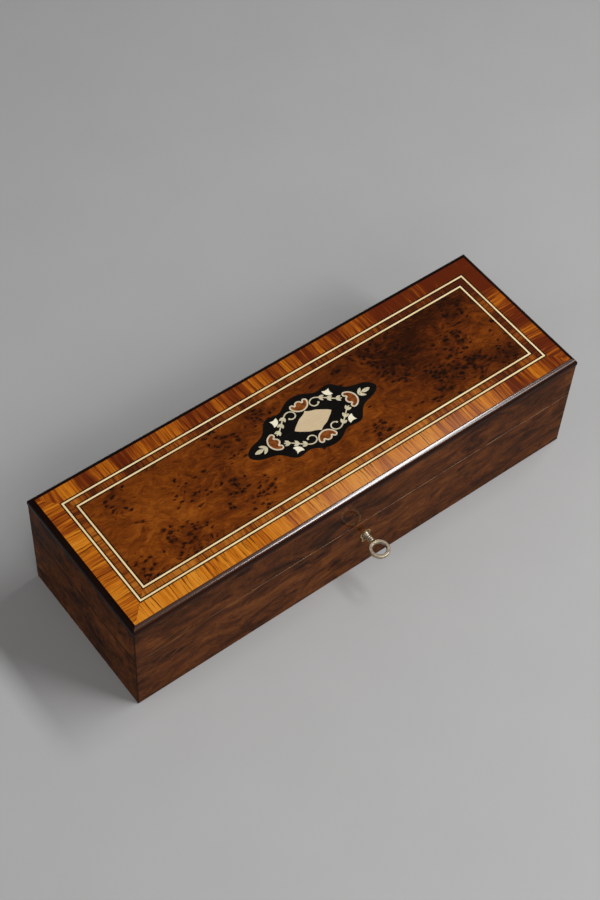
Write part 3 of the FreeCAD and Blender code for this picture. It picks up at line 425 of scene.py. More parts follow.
def eye_clusters(tree, place):
    """How crowded the eyes are: the strongest of several soft round spots, given as x, y and reach."""
    flat = vector_sum(tree, "MULTIPLY", place, (1, 1, 0))
    crowd = None
    for x, y, reach in EYE_CLUSTERS:
        away = put(tree, "ShaderNodeVectorMath", {0: flat, 1: (x, y, 0)}, operation="DISTANCE").outputs["Value"]
        spot = smooth(tree, away, 0.3 * reach, 1.25 * reach, 1.0, 0.0)
        crowd = spot if crowd is None else calc(tree, "MAXIMUM", crowd, spot)
    return crowd


def lid_burr():
    made, tree, shader = new_material("lid_burr", Specular_IOR_Level=0.03, Coat_Weight=0.3, Coat_Roughness=0.12)
    place = in_millimetres(tree)
    x, y, _ = axes(tree, place)
    crowd = eye_clusters(tree, place)
    everywhere = smooth(tree, x, -120.0, 60.0, 0.06, 0.13)
    share = calc(tree, "MULTIPLY_ADD", crowd, 0.78, everywhere)
    lying = stretch(tree, place, (0.66, 1.0, 1.0), (0, 0, 20))
    figure = use_group(
        tree, burr_figure, Vector=lying, Eye_Spacing=2.3, Eye_Share=share, Flow_Size=7.0, Wisps=0.34
    )
    calm_and_sheen = smooth(tree, x, -60.0, 80.0, 0.045, -0.03)
    # Lighter towards the front: painted sheen.
    calm_and_sheen = calc(tree, "ADD", calm_and_sheen, smooth(tree, y, -20.0, 25.0, 0.014, -0.02))
    tone = calc(tree, "ADD", figure["Tone"], calm_and_sheen)
    tone = calc(tree, "SUBTRACT", tone, calc(tree, "MULTIPLY", crowd, 0.04))
    wood = gradient(tree, tone, [
        (0.36, (0.0260, 0.0055, 0.0010)),
        (0.44, (0.0720, 0.0140, 0.0015)),
        (0.51, (0.1280, 0.0265, 0.0020)),
        (0.57, (0.1900, 0.0430, 0.0028)),
        (0.66, (0.2900, 0.0760, 0.0060)),
    ])
    colour = mix(tree, calc(tree, "MULTIPLY", figure["Eyes"], 0.94), wood, EYE_COLOUR)
    across = use_group(tree, strip_directions, Vector=place)["Across"]
    glue = use_group(tree, glue_line, Across=across, Joint=joint_depth("burr_field"))
    colour = mix(tree, glue["Mask"], colour, GLUE_COLOUR)
    tree.links.new(colour, shader.inputs["Base Color"])
    polish = use_group(tree, hand_polish, Vector=place, Smear=0.12, Base=0.38)
    tree.links.new(polish["Roughness"], shader.inputs["Roughness"])
    bump = put(tree, "ShaderNodeBump", {"Height": figure["Height"], "Strength": 0.05, "Distance": 0.0004})
    tree.links.new(bump.outputs[0], shader.inputs["Normal"])
    return made


dress(lid_burr(), "burr_field")
print("lid field dressed, clusters of eyes:", len(EYE_CLUSTERS))

# %% [markdown]
# ## The sides
# The sides wear the same kind of burr, older and darker, with smoky flames that lean to one side. Along the
# front of the seam the top edge of the base has a pale thin line, partly rubbed polish and partly painted
# highlight, and painted shade darkens the seam elsewhere. These marks are masks made from the height above the
# table.

# %% Burr veneer on the sides
FRONT_LOW, FRONT_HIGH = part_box("base_front_veneer")
SEAM_MM = FRONT_HIGH.z * 1000
FRONT_MM = FRONT_LOW.y * 1000
LEFT_MM = FRONT_LOW.x * 1000
RUBBED_AND_LIT_SEAM = (0.30, 0.165, 0.085, 1)
SEAM_SHADE_AND_CORNER_COLOUR = (0.010, 0.005, 0.003, 1)
SIDE_EYE_COLOUR = (0.012, 0.0050, 0.0028, 1)


def seam_lines(tree, place, colour):
    """A pale line along the front of the seam, partly rubbed wood and partly painted highlight; painted shade in
    the seam, and darker upright corners.
    """
    x, y, z = axes(tree, place)
    above = calc(tree, "SUBTRACT", z, SEAM_MM)
    below_seam = calc(tree, "LESS_THAN", above, 0.02)
    front = smooth(tree, y, FRONT_MM + 0.2, FRONT_MM + 0.8, 1.0, 0.0)
    base_edge = calc(tree, "MULTIPLY", smooth(tree, above, -0.85, -0.35), below_seam)
    ragged = smooth(tree, cloud(tree, stretch(tree, place, (0.06, 0.06, 0.3)), 1.0, 4, 0.65), 0.38, 0.58)
    more_to_the_right = smooth(tree, x, -120.0, -20.0, 0.26, 0.75)
    # The pale line along the front is partly rubbed wood and partly painted highlight.
    rubbed_and_lit = calc(tree, "MULTIPLY", calc(tree, "MULTIPLY", base_edge, ragged), more_to_the_right)
    colour = mix(tree, calc(tree, "MULTIPLY", rubbed_and_lit, front), colour, RUBBED_AND_LIT_SEAM)

    # Painted shade on the lower edge of the lid and on the top edge of the base away from the front; darker upright
    # corners.
    on_lid = calc(tree, "SUBTRACT", 1.0, below_seam)
    lid_edge = calc(tree, "SUBTRACT", on_lid, calc(tree, "MULTIPLY", smooth(tree, above, 0.3, 1.2), on_lid))
    not_front = calc(tree, "SUBTRACT", 1.0, front)
    seam = calc(tree, "MAXIMUM", lid_edge, calc(tree, "MULTIPLY", base_edge, not_front))
    from_end = calc(tree, "SUBTRACT", -LEFT_MM, calc(tree, "ABSOLUTE", x))
    from_side = calc(tree, "SUBTRACT", -FRONT_MM, calc(tree, "ABSOLUTE", y))
    corner = smooth(tree, calc(tree, "MAXIMUM", from_end, from_side), 0.3, 0.9, 0.9, 0.0)
    seam_shade_and_dark_corners = calc(tree, "MULTIPLY", calc(tree, "MAXIMUM", seam, corner), 0.85)
    return mix(tree, seam_shade_and_dark_corners, colour, SEAM_SHADE_AND_CORNER_COLOUR)


def side_burr():
    made, tree, shader = new_material("side_burr", Specular_IOR_Level=0.0, Coat_Weight=0.17, Coat_Roughness=0.06)
    place = in_millimetres(tree)
    leaning = stretch(tree, place, (0.42, 0.9, 1.0), (0, 30, 24))
    figure = use_group(tree, burr_figure, Vector=leaning, Eye_Spacing=4.4, Eye_Share=0.07, Flow_Size=12.0)
    wood = gradient(tree, figure["Tone"], [
        (0.38, (0.0190, 0.0065, 0.0024)),
        (0.45, (0.0490, 0.0142, 0.0038)),
        (0.51, (0.0900, 0.0250, 0.0058)),
        (0.56, (0.1320, 0.0380, 0.0082)),
        (0.63, (0.1900, 0.0600, 0.0125)),
    ])
    colour = mix(tree, calc(tree, "MULTIPLY", figure["Eyes"], 0.5), wood, SIDE_EYE_COLOUR)
    colour = seam_lines(tree, place, colour)
    tree.links.new(colour, shader.inputs["Base Color"])
    polish = use_group(tree, hand_polish, Vector=place, Smear=0.14, Base=0.4)
    tree.links.new(polish["Roughness"], shader.inputs["Roughness"])
    bump = put(tree, "ShaderNodeBump", {"Height": figure["Height"], "Strength": 0.06, "Distance": 0.0004})
    tree.links.new(bump.outputs[0], shader.inputs["Normal"])
    return made


SIDES = ("front", "back", "left", "right")
dress(side_burr(), *[f"{part}_{side}_veneer" for part in ("base", "lid") for side in SIDES])
print("sides dressed, seam at", round(SEAM_MM, 1), "mm")

# %% [markdown]
# ## Cross-grained bands
# The wide outer band and the narrow inner one are cut so that the grain runs across them. The wood is striped
# in honey and red brown. One noise pattern with almost no change across the band gives the stripes,
# a broader one makes whole stretches darker, and a fine one draws the thin dark lines. The bands are painted
# lighter towards the front as painted sheen, and a pale tone in the middle of the front is painted glare.

# %% Striped wood for the bands
def striped_band(name, line_size, stops, streak, streak_share, joints):
    made, tree, shader = new_material(name, Specular_IOR_Level=0.06, Coat_Weight=0.3, Coat_Roughness=0.12)
    place = in_millimetres(tree)
    strip = use_group(tree, strip_directions, Vector=place)
    wander = calc(tree, "MULTIPLY", cloud(tree, place, 0.07, 2), 2.2)
    along = calc(tree, "ADD", strip["Along"], wander)
    across = calc(tree, "MULTIPLY", strip["Across"], 0.035)
    path = put(tree, "ShaderNodeCombineXYZ", {0: along, 1: across}).outputs[0]
    patches = cloud(tree, path, 0.045, 1)
    stripes = cloud(tree, path, 0.30 / line_size, 3, 0.65)
    lines = cloud(tree, path, 1.5 / line_size, 2, 0.6)
    tone = calc(tree, "MULTIPLY_ADD", patches, 0.55, -0.13)
    tone = calc(tree, "MULTIPLY_ADD", stripes, 0.42, tone)
    tone = calc(tree, "MULTIPLY_ADD", lines, 0.26, tone)
    x, y, _ = axes(tree, place)
    left_bright = smooth(tree, x, 0.0, 150.0, 0.03, -0.08)
    # Lighter towards the left end, and lighter towards the front as painted sheen.
    tone_and_sheen = calc(tree, "ADD", left_bright, smooth(tree, y, -48.0, 48.0, 0.055, -0.055))
    wood = gradient(tree, calc(tree, "ADD", tone, tone_and_sheen), stops)
    thin = cloud(tree, vector_sum(tree, "ADD", path, (31.0, 0.0, 0.0)), 1.0 / line_size, 3, 0.7)
    dark = smooth(tree, thin, 0.54, 0.64, 0.0, streak_share)
    colour = mix(tree, dark, wood, streak)
    # The paler middle of the front is painted glare.
    off_middle = calc(tree, "ABSOLUTE", calc(tree, "SUBTRACT", x, GLARE_MIDDLE_MM))
    near_front = smooth(tree, y, -44.0, -30.0, 1.0, 0.0)
    painted_glare = calc(tree, "MULTIPLY", near_front, smooth(tree, off_middle, 30.0, 95.0, 0.16, 0.0))
    colour = mix(tree, painted_glare, colour, PAINTED_GLARE_COLOUR)
    for joint in joints:
        glue = use_group(tree, glue_line, Across=strip["Across"], Joint=joint)
        colour = mix(tree, glue["Mask"], colour, GLUE_COLOUR)
    tree.links.new(colour, shader.inputs["Base Color"])
    polish = use_group(tree, hand_polish, Vector=place, Smear=0.12, Base=0.36)
    tree.links.new(polish["Roughness"], shader.inputs["Roughness"])
    bump = put(tree, "ShaderNodeBump", {"Height": lines, "Strength": 0.04, "Distance": 0.0003})
    tree.links.new(bump.outputs[0], shader.inputs["Normal"])
    return made


HONEY_STOPS = [
    (0.40, (0.110, 0.0150, 0.0016)),
    (0.45, (0.230, 0.0440, 0.0026)),
    (0.50, (0.400, 0.0980, 0.0045)),
    (0.55, (0.560, 0.1660, 0.0065)),
    (0.63, (0.700, 0.2550, 0.0200)),
]
RUSSET_STOPS = [
    (0.38, (0.070, 0.0120, 0.0020)),
    (0.46, (0.170, 0.0340, 0.0030)),
    (0.53, (0.320, 0.0820, 0.0065)),
    (0.62, (0.480, 0.1600, 0.0160)),
]
GLARE_MIDDLE_MM = 25.0
PAINTED_GLARE_COLOUR = (0.55, 0.38, 0.30, 1)
OUTER_END = joint_depth("stringing_dark")
INNER_START = joint_depth("inner_crossband")
INNER_END = joint_depth("burr_field") - (INNER_START - OUTER_END)
HONEY_STREAK = (0.075, 0.0110, 0.0016, 1)
RUSSET_STREAK = (0.030, 0.0060, 0.0015, 1)
honey_band = striped_band("honey_band", 1.0, HONEY_STOPS, HONEY_STREAK, 0.85, [OUTER_END])
russet_band = striped_band("russet_band", 0.7, RUSSET_STOPS, RUSSET_STREAK, 0.85, [INNER_START, INNER_END])
dress(honey_band, "outer_crossband")
dress(russet_band, "inner_crossband")
print("bands dressed, joints at", [round(depth, 2) for depth in (OUTER_END, INNER_START, INNER_END)], "mm")

# %% [markdown]
# ## Pale and dark lines
# The stringing is thin strips of pale wood between even thinner black ones. Old pale lines are never clean:
# polish has yellowed them and dirt sits in the grain.

# %% Wood for the lines, the moulding and the black ground
def plain_strip(name, light, dark, line_width, pores, base_roughness, coat):
    made, tree, shader = new_material(name, Specular_IOR_Level=0.04, Coat_Weight=coat, Coat_Roughness=0.14)
    place = in_millimetres(tree)
    strip = use_group(tree, strip_directions, Vector=place)
    depth = axes(tree, place)[2]
    grain = use_group(
        tree, straight_grain, Along=strip["Along"], Across=strip["Across"], Depth=depth, Line_Width=line_width
    )
    dirt = smooth(tree, cloud(tree, place, 0.11, 4), 0.42, 0.75, 0.0, 0.5)
    tone = calc(tree, "MAXIMUM", calc(tree, "SUBTRACT", grain["Tone"], dirt), 0.0)
    colour = mix(tree, tone, dark, light)
    colour = mix(tree, calc(tree, "MULTIPLY", grain["Pores"], pores), colour, dark)
    tree.links.new(colour, shader.inputs["Base Color"])
    polish = use_group(tree, hand_polish, Vector=place, Smear=0.12, Base=base_roughness)
    tree.links.new(polish["Roughness"], shader.inputs["Roughness"])
    return made


def rubbed_and_lit_crown(finish):
    """Makes the top of the rounded front edge paler and glossy, where hands lift the lid: the paler colour is
    partly rubbed wood and partly painted highlight. Its foot stays dull.
    """
    tree = finish.node_tree
    shader = tree.nodes["Principled BSDF"]
    height = axes(tree, in_millimetres(tree))[2]
    rubbed_and_lit = smooth(tree, height, TOP_MM - 1.5, TOP_MM - 0.6)
    plain_colour = shader.inputs["Base Color"].links[0].from_socket
    # Paler crown: partly rubbed wood, partly painted highlight.
    crown_colour = mix(tree, calc(tree, "MULTIPLY", rubbed_and_lit, 0.6), plain_colour, RUBBED_AND_LIT_COLOUR)
    tree.links.new(crown_colour, shader.inputs["Base Color"])
    tree.links.new(calc(tree, "MAXIMUM", rubbed_and_lit, 0.04), shader.inputs["Coat Weight"])
    shader.inputs["Coat IOR"].default_value = 1.65
    return finish


TOP_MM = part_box("edge_moulding_front")[1].z * 1000
PALE_LINE = ((1.0, 0.83, 0.49, 1), (0.86, 0.63, 0.33, 1))
DARK_LINE = ((0.018, 0.009, 0.006, 1), (0.006, 0.0035, 0.0025, 1))
# The front moulding is a lighter copy of the others: painted light on the front, painted shade on the rest.
LIT_FRONT_MOULDING = ((0.036, 0.0085, 0.0022, 1), (0.016, 0.0042, 0.0014, 1))
SHADED_MOULDING = ((0.012, 0.0035, 0.0015, 1), (0.006, 0.0020, 0.0010, 1))
RUBBED_AND_LIT_COLOUR = (0.075, 0.030, 0.017, 1)
BLACK_GROUND = ((0.0055, 0.0042, 0.0032, 1), (0.0022, 0.0018, 0.0015, 1))
dress(plain_strip("pale_line", *PALE_LINE, 0.9, 0.2, 0.4, 0.3), "stringing_pale")
dress(plain_strip("dark_line", *DARK_LINE, 0.9, 0.3, 0.4, 0.3), "stringing_dark")
lit_front_moulding = rubbed_and_lit_crown(plain_strip("lit_front_moulding", *LIT_FRONT_MOULDING, 1.2, 0.4, 0.35, 0.5))
dress(lit_front_moulding, "edge_moulding_front")
shaded_moulding = plain_strip("shaded_moulding", *SHADED_MOULDING, 1.2, 0.4, 0.35, 0.1)
dress(shaded_moulding, *[f"edge_moulding_{side}" for side in SIDES if side != "front"])
dress(plain_strip("black_ground", *BLACK_GROUND, 1.0, 0.5, 0.45, 0.3), "cartouche_ground")
print("lines dressed")

# %% [markdown]
# ## The cartouche
# Pale scrolls, flowers and a plain middle plate are let into the black ground, with four red shells. They are
# cut from different pale stuff, so each has its own warmth. The engraver scored fine lines into the shells and
# leaves, rubbed dark. On the shells these lines spread from the middle of the cartouche.

# %% Pale inlay with scored lines
CARTOUCHE_LOW, CARTOUCHE_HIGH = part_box("cartouche_ground")
CARTOUCHE_MIDDLE_MM = tuple((CARTOUCHE_LOW + CARTOUCHE_HIGH) * 500)
SCORED_INLAY = (0.10, 0.06, 0.03, 1)
SCORED_SHELL = (0.055, 0.012, 0.005, 1)
SHELL_DARK = (0.130, 0.030, 0.005, 1)
SHELL_LIGHT = (0.280, 0.078, 0.012, 1)


def pale_inlay(name, light, dark, scoring):
    made, tree, shader = new_material(name, Specular_IOR_Level=0.05, Coat_Weight=0.3, Coat_Roughness=0.14)
    place = in_millimetres(tree)
    x, y, z = axes(tree, place)
    grain = use_group(tree, straight_grain, Along=x, Across=y, Depth=z, Line_Width=0.8)
    patches = calc(tree, "MULTIPLY", cloud(tree, place, 0.3, 3), 0.55)
    tone = calc(tree, "ADD", calc(tree, "MULTIPLY", grain["Tone"], 0.55), patches)
    colour = mix(tree, tone, dark, light)
    scored = smooth(tree, cloud(tree, place, 1.1, 2, 0.5, 0.6), 0.58, 0.68, 0.0, scoring)
    colour = mix(tree, scored, colour, SCORED_INLAY)
    tree.links.new(colour, shader.inputs["Base Color"])
    polish = use_group(tree, hand_polish, Vector=place, Smear=0.1, Base=0.4)
    tree.links.new(polish["Roughness"], shader.inputs["Roughness"])
    return made


def shell_wood():
    made, tree, shader = new_material("shell_wood", Specular_IOR_Level=0.05, Coat_Weight=0.3, Coat_Roughness=0.14)
    place = in_millimetres(tree)
    centred = vector_sum(tree, "SUBTRACT", place, CARTOUCHE_MIDDLE_MM)
    x, y, _ = axes(tree, centred)
    angle = calc(tree, "ARCTAN2", y, x)
    rays = calc(tree, "ABSOLUTE", calc(tree, "SINE", calc(tree, "MULTIPLY", angle, 34.0)))
    scored = smooth(tree, rays, 0.0, 0.35, 0.55, 0.0)
    mottle = cloud(tree, place, 0.35, 4)
    colour = mix(tree, smooth(tree, mottle, 0.3, 0.7), SHELL_DARK, SHELL_LIGHT)
    colour = mix(tree, scored, colour, SCORED_SHELL)
    tree.links.new(colour, shader.inputs["Base Color"])
    polish = use_group(tree, hand_polish, Vector=place, Smear=0.1, Base=0.4)
    tree.links.new(polish["Roughness"], shader.inputs["Roughness"])
    return made


dress(pale_inlay("plate_inlay", (0.69, 0.54, 0.34, 1), (0.58, 0.43, 0.255, 1), 0.0), "cartouche_plate")
dress(pale_inlay("rim_inlay", (0.76, 0.66, 0.49, 1), (0.56, 0.45, 0.30, 1), 0.25), "cartouche_shell_rims")
dress(pale_inlay("scroll_inlay", (0.74, 0.68, 0.48, 1), (0.50, 0.42, 0.26, 1), 0.45), "cartouche_scrolls")
dress(pale_inlay("flower_inlay", (0.98, 0.93, 0.74, 1), (0.82, 0.74, 0.52, 1), 0.15), "cartouche_flowers")
dress(shell_wood(), "cartouche_shells")
print("cartouche dressed")

# %% [markdown]
# ## Inside wood
# The carcass is plain straight-grained wood and shows under the case and on the edges of the open seam. The
# liners and the tray are finer, redder wood with a wax finish.

# %% Carcass and liner wood
def straight_wood(name, light, dark, line_width, along_axis, base_roughness, coat):
    made, tree, shader = new_material(name, IOR=1.5, Coat_Weight=coat, Coat_Roughness=0.3)
    place = in_millimetres(tree)
    parts = axes(tree, place)
    others = [part for index, part in enumerate(parts) if index != along_axis]
    grain = use_group(
        tree, straight_grain, Along=parts[along_axis], Across=others[0], Depth=others[1], Line_Width=line_width
    )
    broad = cloud(tree, place, 0.02, 3)
    tone = calc(tree, "ADD", calc(tree, "MULTIPLY", grain["Tone"], 0.6), calc(tree, "MULTIPLY", broad, 0.5))
    colour = mix(tree, tone, dark, light)
    pore_colour = tuple(0.5 * part for part in dark[:3]) + (1,)
    colour = mix(tree, calc(tree, "MULTIPLY", grain["Pores"], 0.5), colour, pore_colour)
    tree.links.new(colour, shader.inputs["Base Color"])
    polish = use_group(tree, hand_polish, Vector=place, Smear=0.15, Base=base_roughness)
    tree.links.new(polish["Roughness"], shader.inputs["Roughness"])
    bump = put(tree, "ShaderNodeBump", {"Height": grain["Tone"], "Strength": 0.1, "Distance": 0.0004})
    tree.links.new(bump.outputs[0], shader.inputs["Normal"])
    return made


CARCASS = ((0.25, 0.115, 0.046, 1), (0.125, 0.050, 0.019, 1))
LINER = ((0.21, 0.070, 0.024, 1), (0.090, 0.026, 0.010, 1))
carcass_long = straight_wood("carcass_long", *CARCASS, 2.2, 0, 0.62, 0.0)
carcass_short = straight_wood("carcass_short", *CARCASS, 2.2, 1, 0.62, 0.0)
liner_long = straight_wood("liner_long", *LINER, 1.6, 0, 0.42, 0.3)
liner_short = straight_wood("liner_short", *LINER, 1.6, 1, 0.42, 0.3)
dress(carcass_long, "bottom_panel", "lid_top_panel")
for part in ("base", "lid"):
    dress(carcass_long, f"{part}_front_wall", f"{part}_back_wall")
    dress(carcass_short, f"{part}_left_wall", f"{part}_right_wall")
dress(carcass_short, "tray_rests")
dress(liner_long, "liner_front", "liner_back", "tray_front_rail", "tray_back_rail", "tray_base")
dress(liner_short, "liner_left", "liner_right", "tray_left_rail", "tray_right_rail")
print("inside wood dressed")

# %% [markdown]
# ## Brass and the key
# Hinges, screws and lock are old brass, brown where fingers don't reach. The key is paler and handled bright.
# Both are metal with a tarnish pattern that changes colour and roughness together.

# %% Aged metal
def aged_metal(name, bright, tarnish, amount, base_roughness):
    made, tree, shader = new_material(name, Metallic=1.0)
    place = in_millimetres(tree)
    patina = smooth(tree, cloud(tree, place, 0.55, 5, 0.6), 0.4, 0.72, 0.0, amount)
    scratches = cloud(tree, stretch(tree, place, (3.0, 0.4, 0.4), (20, 10, 35)), 1.0, 3)
    colour = mix(tree, patina, bright, tarnish)
    tree.links.new(colour, shader.inputs["Base Color"])
    roughness = calc(tree, "ADD", calc(tree, "MULTIPLY", patina, 0.25), base_roughness)
    roughness = calc(tree, "ADD", roughness, calc(tree, "MULTIPLY", calc(tree, "SUBTRACT", scratches, 0.5), 0.12))
    tree.links.new(roughness, shader.inputs["Roughness"])
    bump = put(tree, "ShaderNodeBump", {"Height": scratches, "Strength": 0.08, "Distance": 0.0001})
    tree.links.new(bump.outputs[0], shader.inputs["Normal"])
    return made


brass = aged_metal("old_brass", (0.72, 0.50, 0.22, 1), (0.24, 0.13, 0.05, 1), 0.75, 0.30)
key_metal = aged_metal("key_metal", (0.50, 0.43, 0.32, 1), (0.22, 0.18, 0.125, 1), 0.8, 0.42)
dress(
    brass,
    "keyhole_escutcheon", "lock_plate", "lock_cap", "lock_drill_pin", "lock_bolt", "lock_link_plate",
    "hinge_pins", "base_screws", "lid_screws",
    *[f"hinge_{side}_{leaf}_leaf" for side in ("left", "right") for leaf in ("lower", "upper")],
)
dress(key_metal, "key")
print("metal dressed")

# %% [markdown]
# ## Velvet
# The tray, the floor and the lid are lined with wine-red velvet. Velvet is dark when seen straight on and pale
# at a glancing angle, because its pile stands up. The sheen of the shader does that. Patches where the
# pile has been brushed another way are a slow noise, and the pile itself is a fine one.

# %% Velvet finish
def velvet_finish():
    made, tree, shader = new_material(
        "wine_velvet",
        Sheen_Weight=0.55,
        Sheen_Roughness=0.35,
        Sheen_Tint=(0.95, 0.42, 0.45, 1),
        Specular_IOR_Level=0.1,
    )
    place = in_millimetres(tree)
    brushed = smooth(tree, cloud(tree, stretch(tree, place, (0.05, 0.09, 0.09)), 1.0, 3, 0.5, 0.6), 0.35, 0.68)
    pile = cloud(tree, place, 2.6, 2)
    colour = mix(tree, brushed, (0.085, 0.006, 0.012, 1), (0.150, 0.014, 0.024, 1))
    colour = mix(tree, smooth(tree, pile, 0.35, 0.7, 0.45, 0.0), colour, (0.040, 0.003, 0.006, 1))
    tree.links.new(colour, shader.inputs["Base Color"])
    tree.links.new(smooth(tree, pile, 0.2, 0.8, 0.98, 0.8), shader.inputs["Roughness"])
    bump = put(tree, "ShaderNodeBump", {"Height": pile, "Strength": 0.35, "Distance": 0.0004})
    tree.links.new(bump.outputs[0], shader.inputs["Normal"])
    return made


velvet = velvet_finish()
print("made", velvet.name)

# %% [markdown]
# ## The pen rest
# Four pens lie in round grooves, and a trough across the middle lets fingers in under them. On the real thing
# the cloth is glued over a grooved block, so every ridge is softly rounded. A grid with its points lifted to
# a height worked out from x and y gives that shape. Averaging the height over a small patch rounds the ridges.

# %% Shape the pen rest
REST_LOW, REST_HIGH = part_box("pen_rest")
GROOVE_RADIUS = 7.0 * MM
GROOVE_MIDDLES = [place * MM for place in (-24.6, -8.2, 8.2, 24.6)]
TROUGH_RADIUS = 16.0 * MM
TROUGH_AXIS = 47.5 * MM


def sharp_height(x, y):
    height = REST_HIGH.z
    for middle in GROOVE_MIDDLES:
        off = abs(y - middle)
        if off < GROOVE_RADIUS:
            height = min(height, REST_HIGH.z - math.sqrt(GROOVE_RADIUS**2 - off**2))
    if abs(x) < TROUGH_RADIUS:
        height = min(height, TROUGH_AXIS - math.sqrt(TROUGH_RADIUS**2 - x**2))
    edge = min(REST_HIGH.x - abs(x), REST_HIGH.y - abs(y))
    return height - 0.7 * MM * max(0.0, 1.0 - edge / (1.2 * MM)) ** 2


def soft_height(x, y, reach=0.8 * MM):
    steps = (-1.0, -0.5, 0.0, 0.5, 1.0)
    around = [sharp_height(x + a * reach, y + b * reach) for a in steps for b in steps]
    return sum(around) / len(around)


def covered_rest():
    mesh = bmesh.new()
    bmesh.ops.create_grid(mesh, x_segments=150, y_segments=110, size=0.5)
    inset = 0.1 * MM
    for point in mesh.verts:
        x = point.co.x * 2 * (REST_HIGH.x - inset)
        y = point.co.y * 2 * (REST_HIGH.y - inset)
        point.co = (x, y, soft_height(x, y))
    rim = [edge for edge in mesh.edges if edge.is_boundary]
    skirt = bmesh.ops.extrude_edge_only(mesh, edges=rim)["geom"]
    for point in (part for part in skirt if isinstance(part, bmesh.types.BMVert)):
        point.co.z = REST_LOW.z
    bmesh.ops.recalc_face_normals(mesh, faces=mesh.faces)
    return mesh


def soft_piece(name, mesh, body, finish):
    """Turns a finished mesh into a smooth piece that moves with one body of the case."""
    data = bpy.data.meshes.new(name)
    mesh.to_mesh(data)
    mesh.free()
    for face in data.polygons:
        face.use_smooth = True
    data.materials.append(finish)
    piece = bpy.data.objects.new(name, data)
    scene.collection.objects.link(piece)
    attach(piece, body)
    return piece


pen_rest = soft_piece("velvet_pen_rest", covered_rest(), "tray", velvet)
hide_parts("pen_rest")
print("pen rest points:", len(pen_rest.data.vertices))

# %% [markdown]
# ## The floor lining
# A single sheet of the same velvet is glued to the floor of the case. Glue never takes evenly, so the sheet
# has slight blisters and a soft rim. It is one grid, raised a few tenths of a millimetre by noise.

# %% Lay the floor lining
FLOOR_LOW, FLOOR_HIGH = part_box("floor_lining")


def floor_cloth():
    mesh = bmesh.new()
    bmesh.ops.create_grid(mesh, x_segments=120, y_segments=40, size=0.5)
    for point in mesh.verts:
        x = point.co.x * 2 * FLOOR_HIGH.x
        y = point.co.y * 2 * FLOOR_HIGH.y
        blister = noise.noise(Vector((x * 38, y * 38, 3.7)))
        rim = min(1.0, min(FLOOR_HIGH.x - abs(x), FLOOR_HIGH.y - abs(y)) / (1.5 * MM))
        point.co = (x, y, FLOOR_HIGH.z - 0.15 * MM * (1 - blister) * rim - 0.35 * MM * (1 - rim))
    return mesh


floor_lining = soft_piece("velvet_floor", floor_cloth(), "base", velvet)
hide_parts("floor_lining")

# %% [markdown]
# ## The padded lid
# Inside the lid is a pad of velvet over wadding, held down by covered buttons. The buttons pull the cloth in
# and it swells between them. Pressing dents into a mesh by hand looks like a tray of eggs, so the cloth
# is simulated: its back and the buttoned points are held, the cloth is cut a little too large, and air pressure
# fills the rest.

# %% Cut the pad and press in the buttons
PAD_LOW, PAD_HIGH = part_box("lid_lining_pad")
BUTTON_STEP = 46.0 * MM
BUTTON_ROW = 19.0 * MM
BUTTON_PULL = 3.4 * MM
BUTTON_REACH = 10.0 * MM
button_spots = [Vector(((i - 2.5) * BUTTON_STEP, 0, 0)) for i in range(6)]
button_spots += [Vector(((i - 2) * BUTTON_STEP, side * BUTTON_ROW, 0)) for i in range(5) for side in (-1, 1)]


def nearest_button(point):
    return min((Vector((point.x, point.y, 0)) - spot).length for spot in button_spots)


def rough_pad():
    data = nodes["lid_lining_pad"].data.copy()
    data.name = "padded_lid"
    pad = bpy.data.objects.new("padded_lid", data)
    scene.collection.objects.link(pad)
    bpy.context.view_layer.objects.active = pad
    data.remesh_voxel_size = 1.5 * MM
    bpy.ops.object.voxel_remesh()
    for point in pad.data.vertices:
        if point.co.z < PAD_HIGH.z - 1.5 * MM:
            pull = BUTTON_PULL * math.exp(-((nearest_button(point.co) / BUTTON_REACH) ** 2) * 2.0)
            point.co.z = min(point.co.z + pull, PAD_HIGH.z - 1.2 * MM)
    return pad


padded_lid = rough_pad()
print("pad points:", len(padded_lid.data.vertices), "buttons:", len(button_spots))

# %% Fill the pad
FILL_FRAMES = 20
MOST_SWELL = 2.4 * MM
ROOM_AT_SIDES = 1.0 * MM


def kept_between(value, low, high):
    return min(max(value, low - ROOM_AT_SIDES), high + ROOM_AT_SIDES)


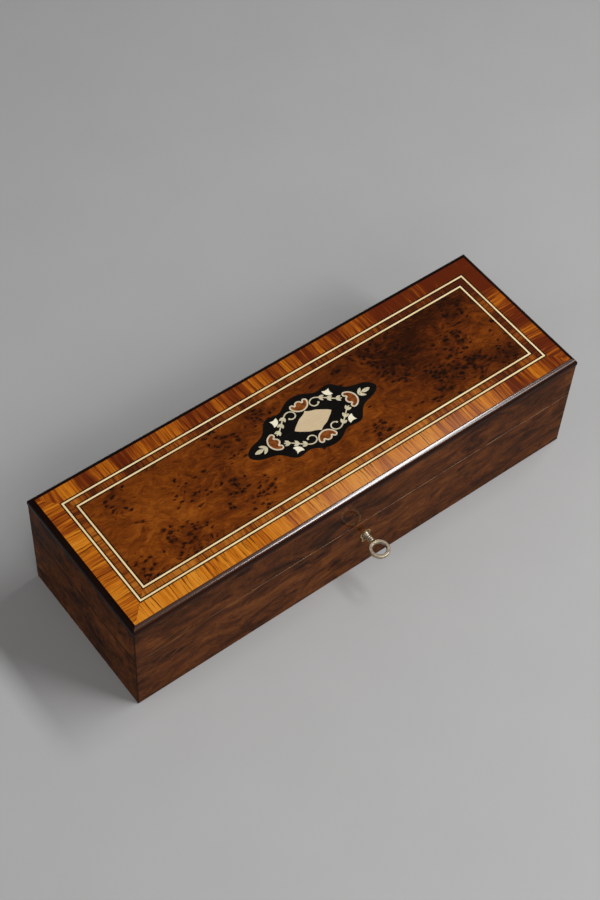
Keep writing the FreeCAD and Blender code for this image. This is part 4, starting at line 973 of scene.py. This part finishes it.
def fill_pad(pad):
    held = pad.vertex_groups.new(name="held")
    for point in pad.data.vertices:
        if point.co.z > PAD_HIGH.z - 1.0 * MM or nearest_button(point.co) < 2.6 * MM:
            held.add([point.index], 1.0, "REPLACE")
    before = [point.co.copy() for point in pad.data.vertices]
    cloth = pad.modifiers.new("filling", "CLOTH")
    cloth.settings.quality = 5
    cloth.settings.mass = 0.1
    cloth.settings.use_pressure = True
    cloth.settings.uniform_pressure_force = 30.0
    cloth.settings.shrink_min = -0.06
    cloth.settings.tension_stiffness = 6.0
    cloth.settings.bending_stiffness = 0.05
    cloth.settings.vertex_group_mass = "held"
    cloth.settings.effector_weights.gravity = 0.0
    cloth.collision_settings.use_collision = False
    for moment in range(1, FILL_FRAMES + 1):
        scene.frame_set(moment)
    seen = pad.evaluated_get(bpy.context.evaluated_depsgraph_get())
    after = [point.co.copy() for point in seen.data.vertices]
    pad.modifiers.remove(cloth)
    scene.frame_set(1)
    for point, start, end in zip(pad.data.vertices, before, after):
        shift = end - start
        if shift.length > MOST_SWELL:
            shift *= MOST_SWELL / shift.length
        x, y, z = start + shift
        x = kept_between(x, PAD_LOW.x, PAD_HIGH.x)
        y = kept_between(y, PAD_LOW.y, PAD_HIGH.y)
        point.co = (x, y, min(z, PAD_HIGH.z))


fill_pad(padded_lid)
for face in padded_lid.data.polygons:
    face.use_smooth = True
padded_lid.modifiers.new("smooth", "SUBSURF").levels = 1
padded_lid.data.materials.clear()
padded_lid.data.materials.append(velvet)
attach(padded_lid, "lid")
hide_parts("lid_lining_pad")
pad_heights = [round(point.co.z * 1000, 2) for point in padded_lid.data.vertices]
print("pad from z", min(pad_heights), "to", max(pad_heights))

# %% [markdown]
# The buttons are small domes covered in the same velvet. They are one mesh, because they are sewn to one pad.

# %% Sew on the buttons
BUTTON_RADIUS = 2.6 * MM
BUTTON_HEIGHT = 1.3 * MM


def pad_surface(spot):
    near = [p.co.z for p in padded_lid.data.vertices if (Vector((p.co.x, p.co.y, 0)) - spot).length < 2.0 * MM]
    return min(near)


def covered_buttons():
    mesh = bmesh.new()
    for spot in button_spots:
        ball = bmesh.ops.create_uvsphere(mesh, u_segments=20, v_segments=10, radius=BUTTON_RADIUS)["verts"]
        seat = pad_surface(spot)
        for point in ball:
            flat = point.co.z * BUTTON_HEIGHT / BUTTON_RADIUS
            point.co = Vector((point.co.x + spot.x, point.co.y + spot.y, seat + flat))
    return mesh


buttons = soft_piece("pad_buttons", covered_buttons(), "lid", velvet)
print("buttons sewn:", len(button_spots))
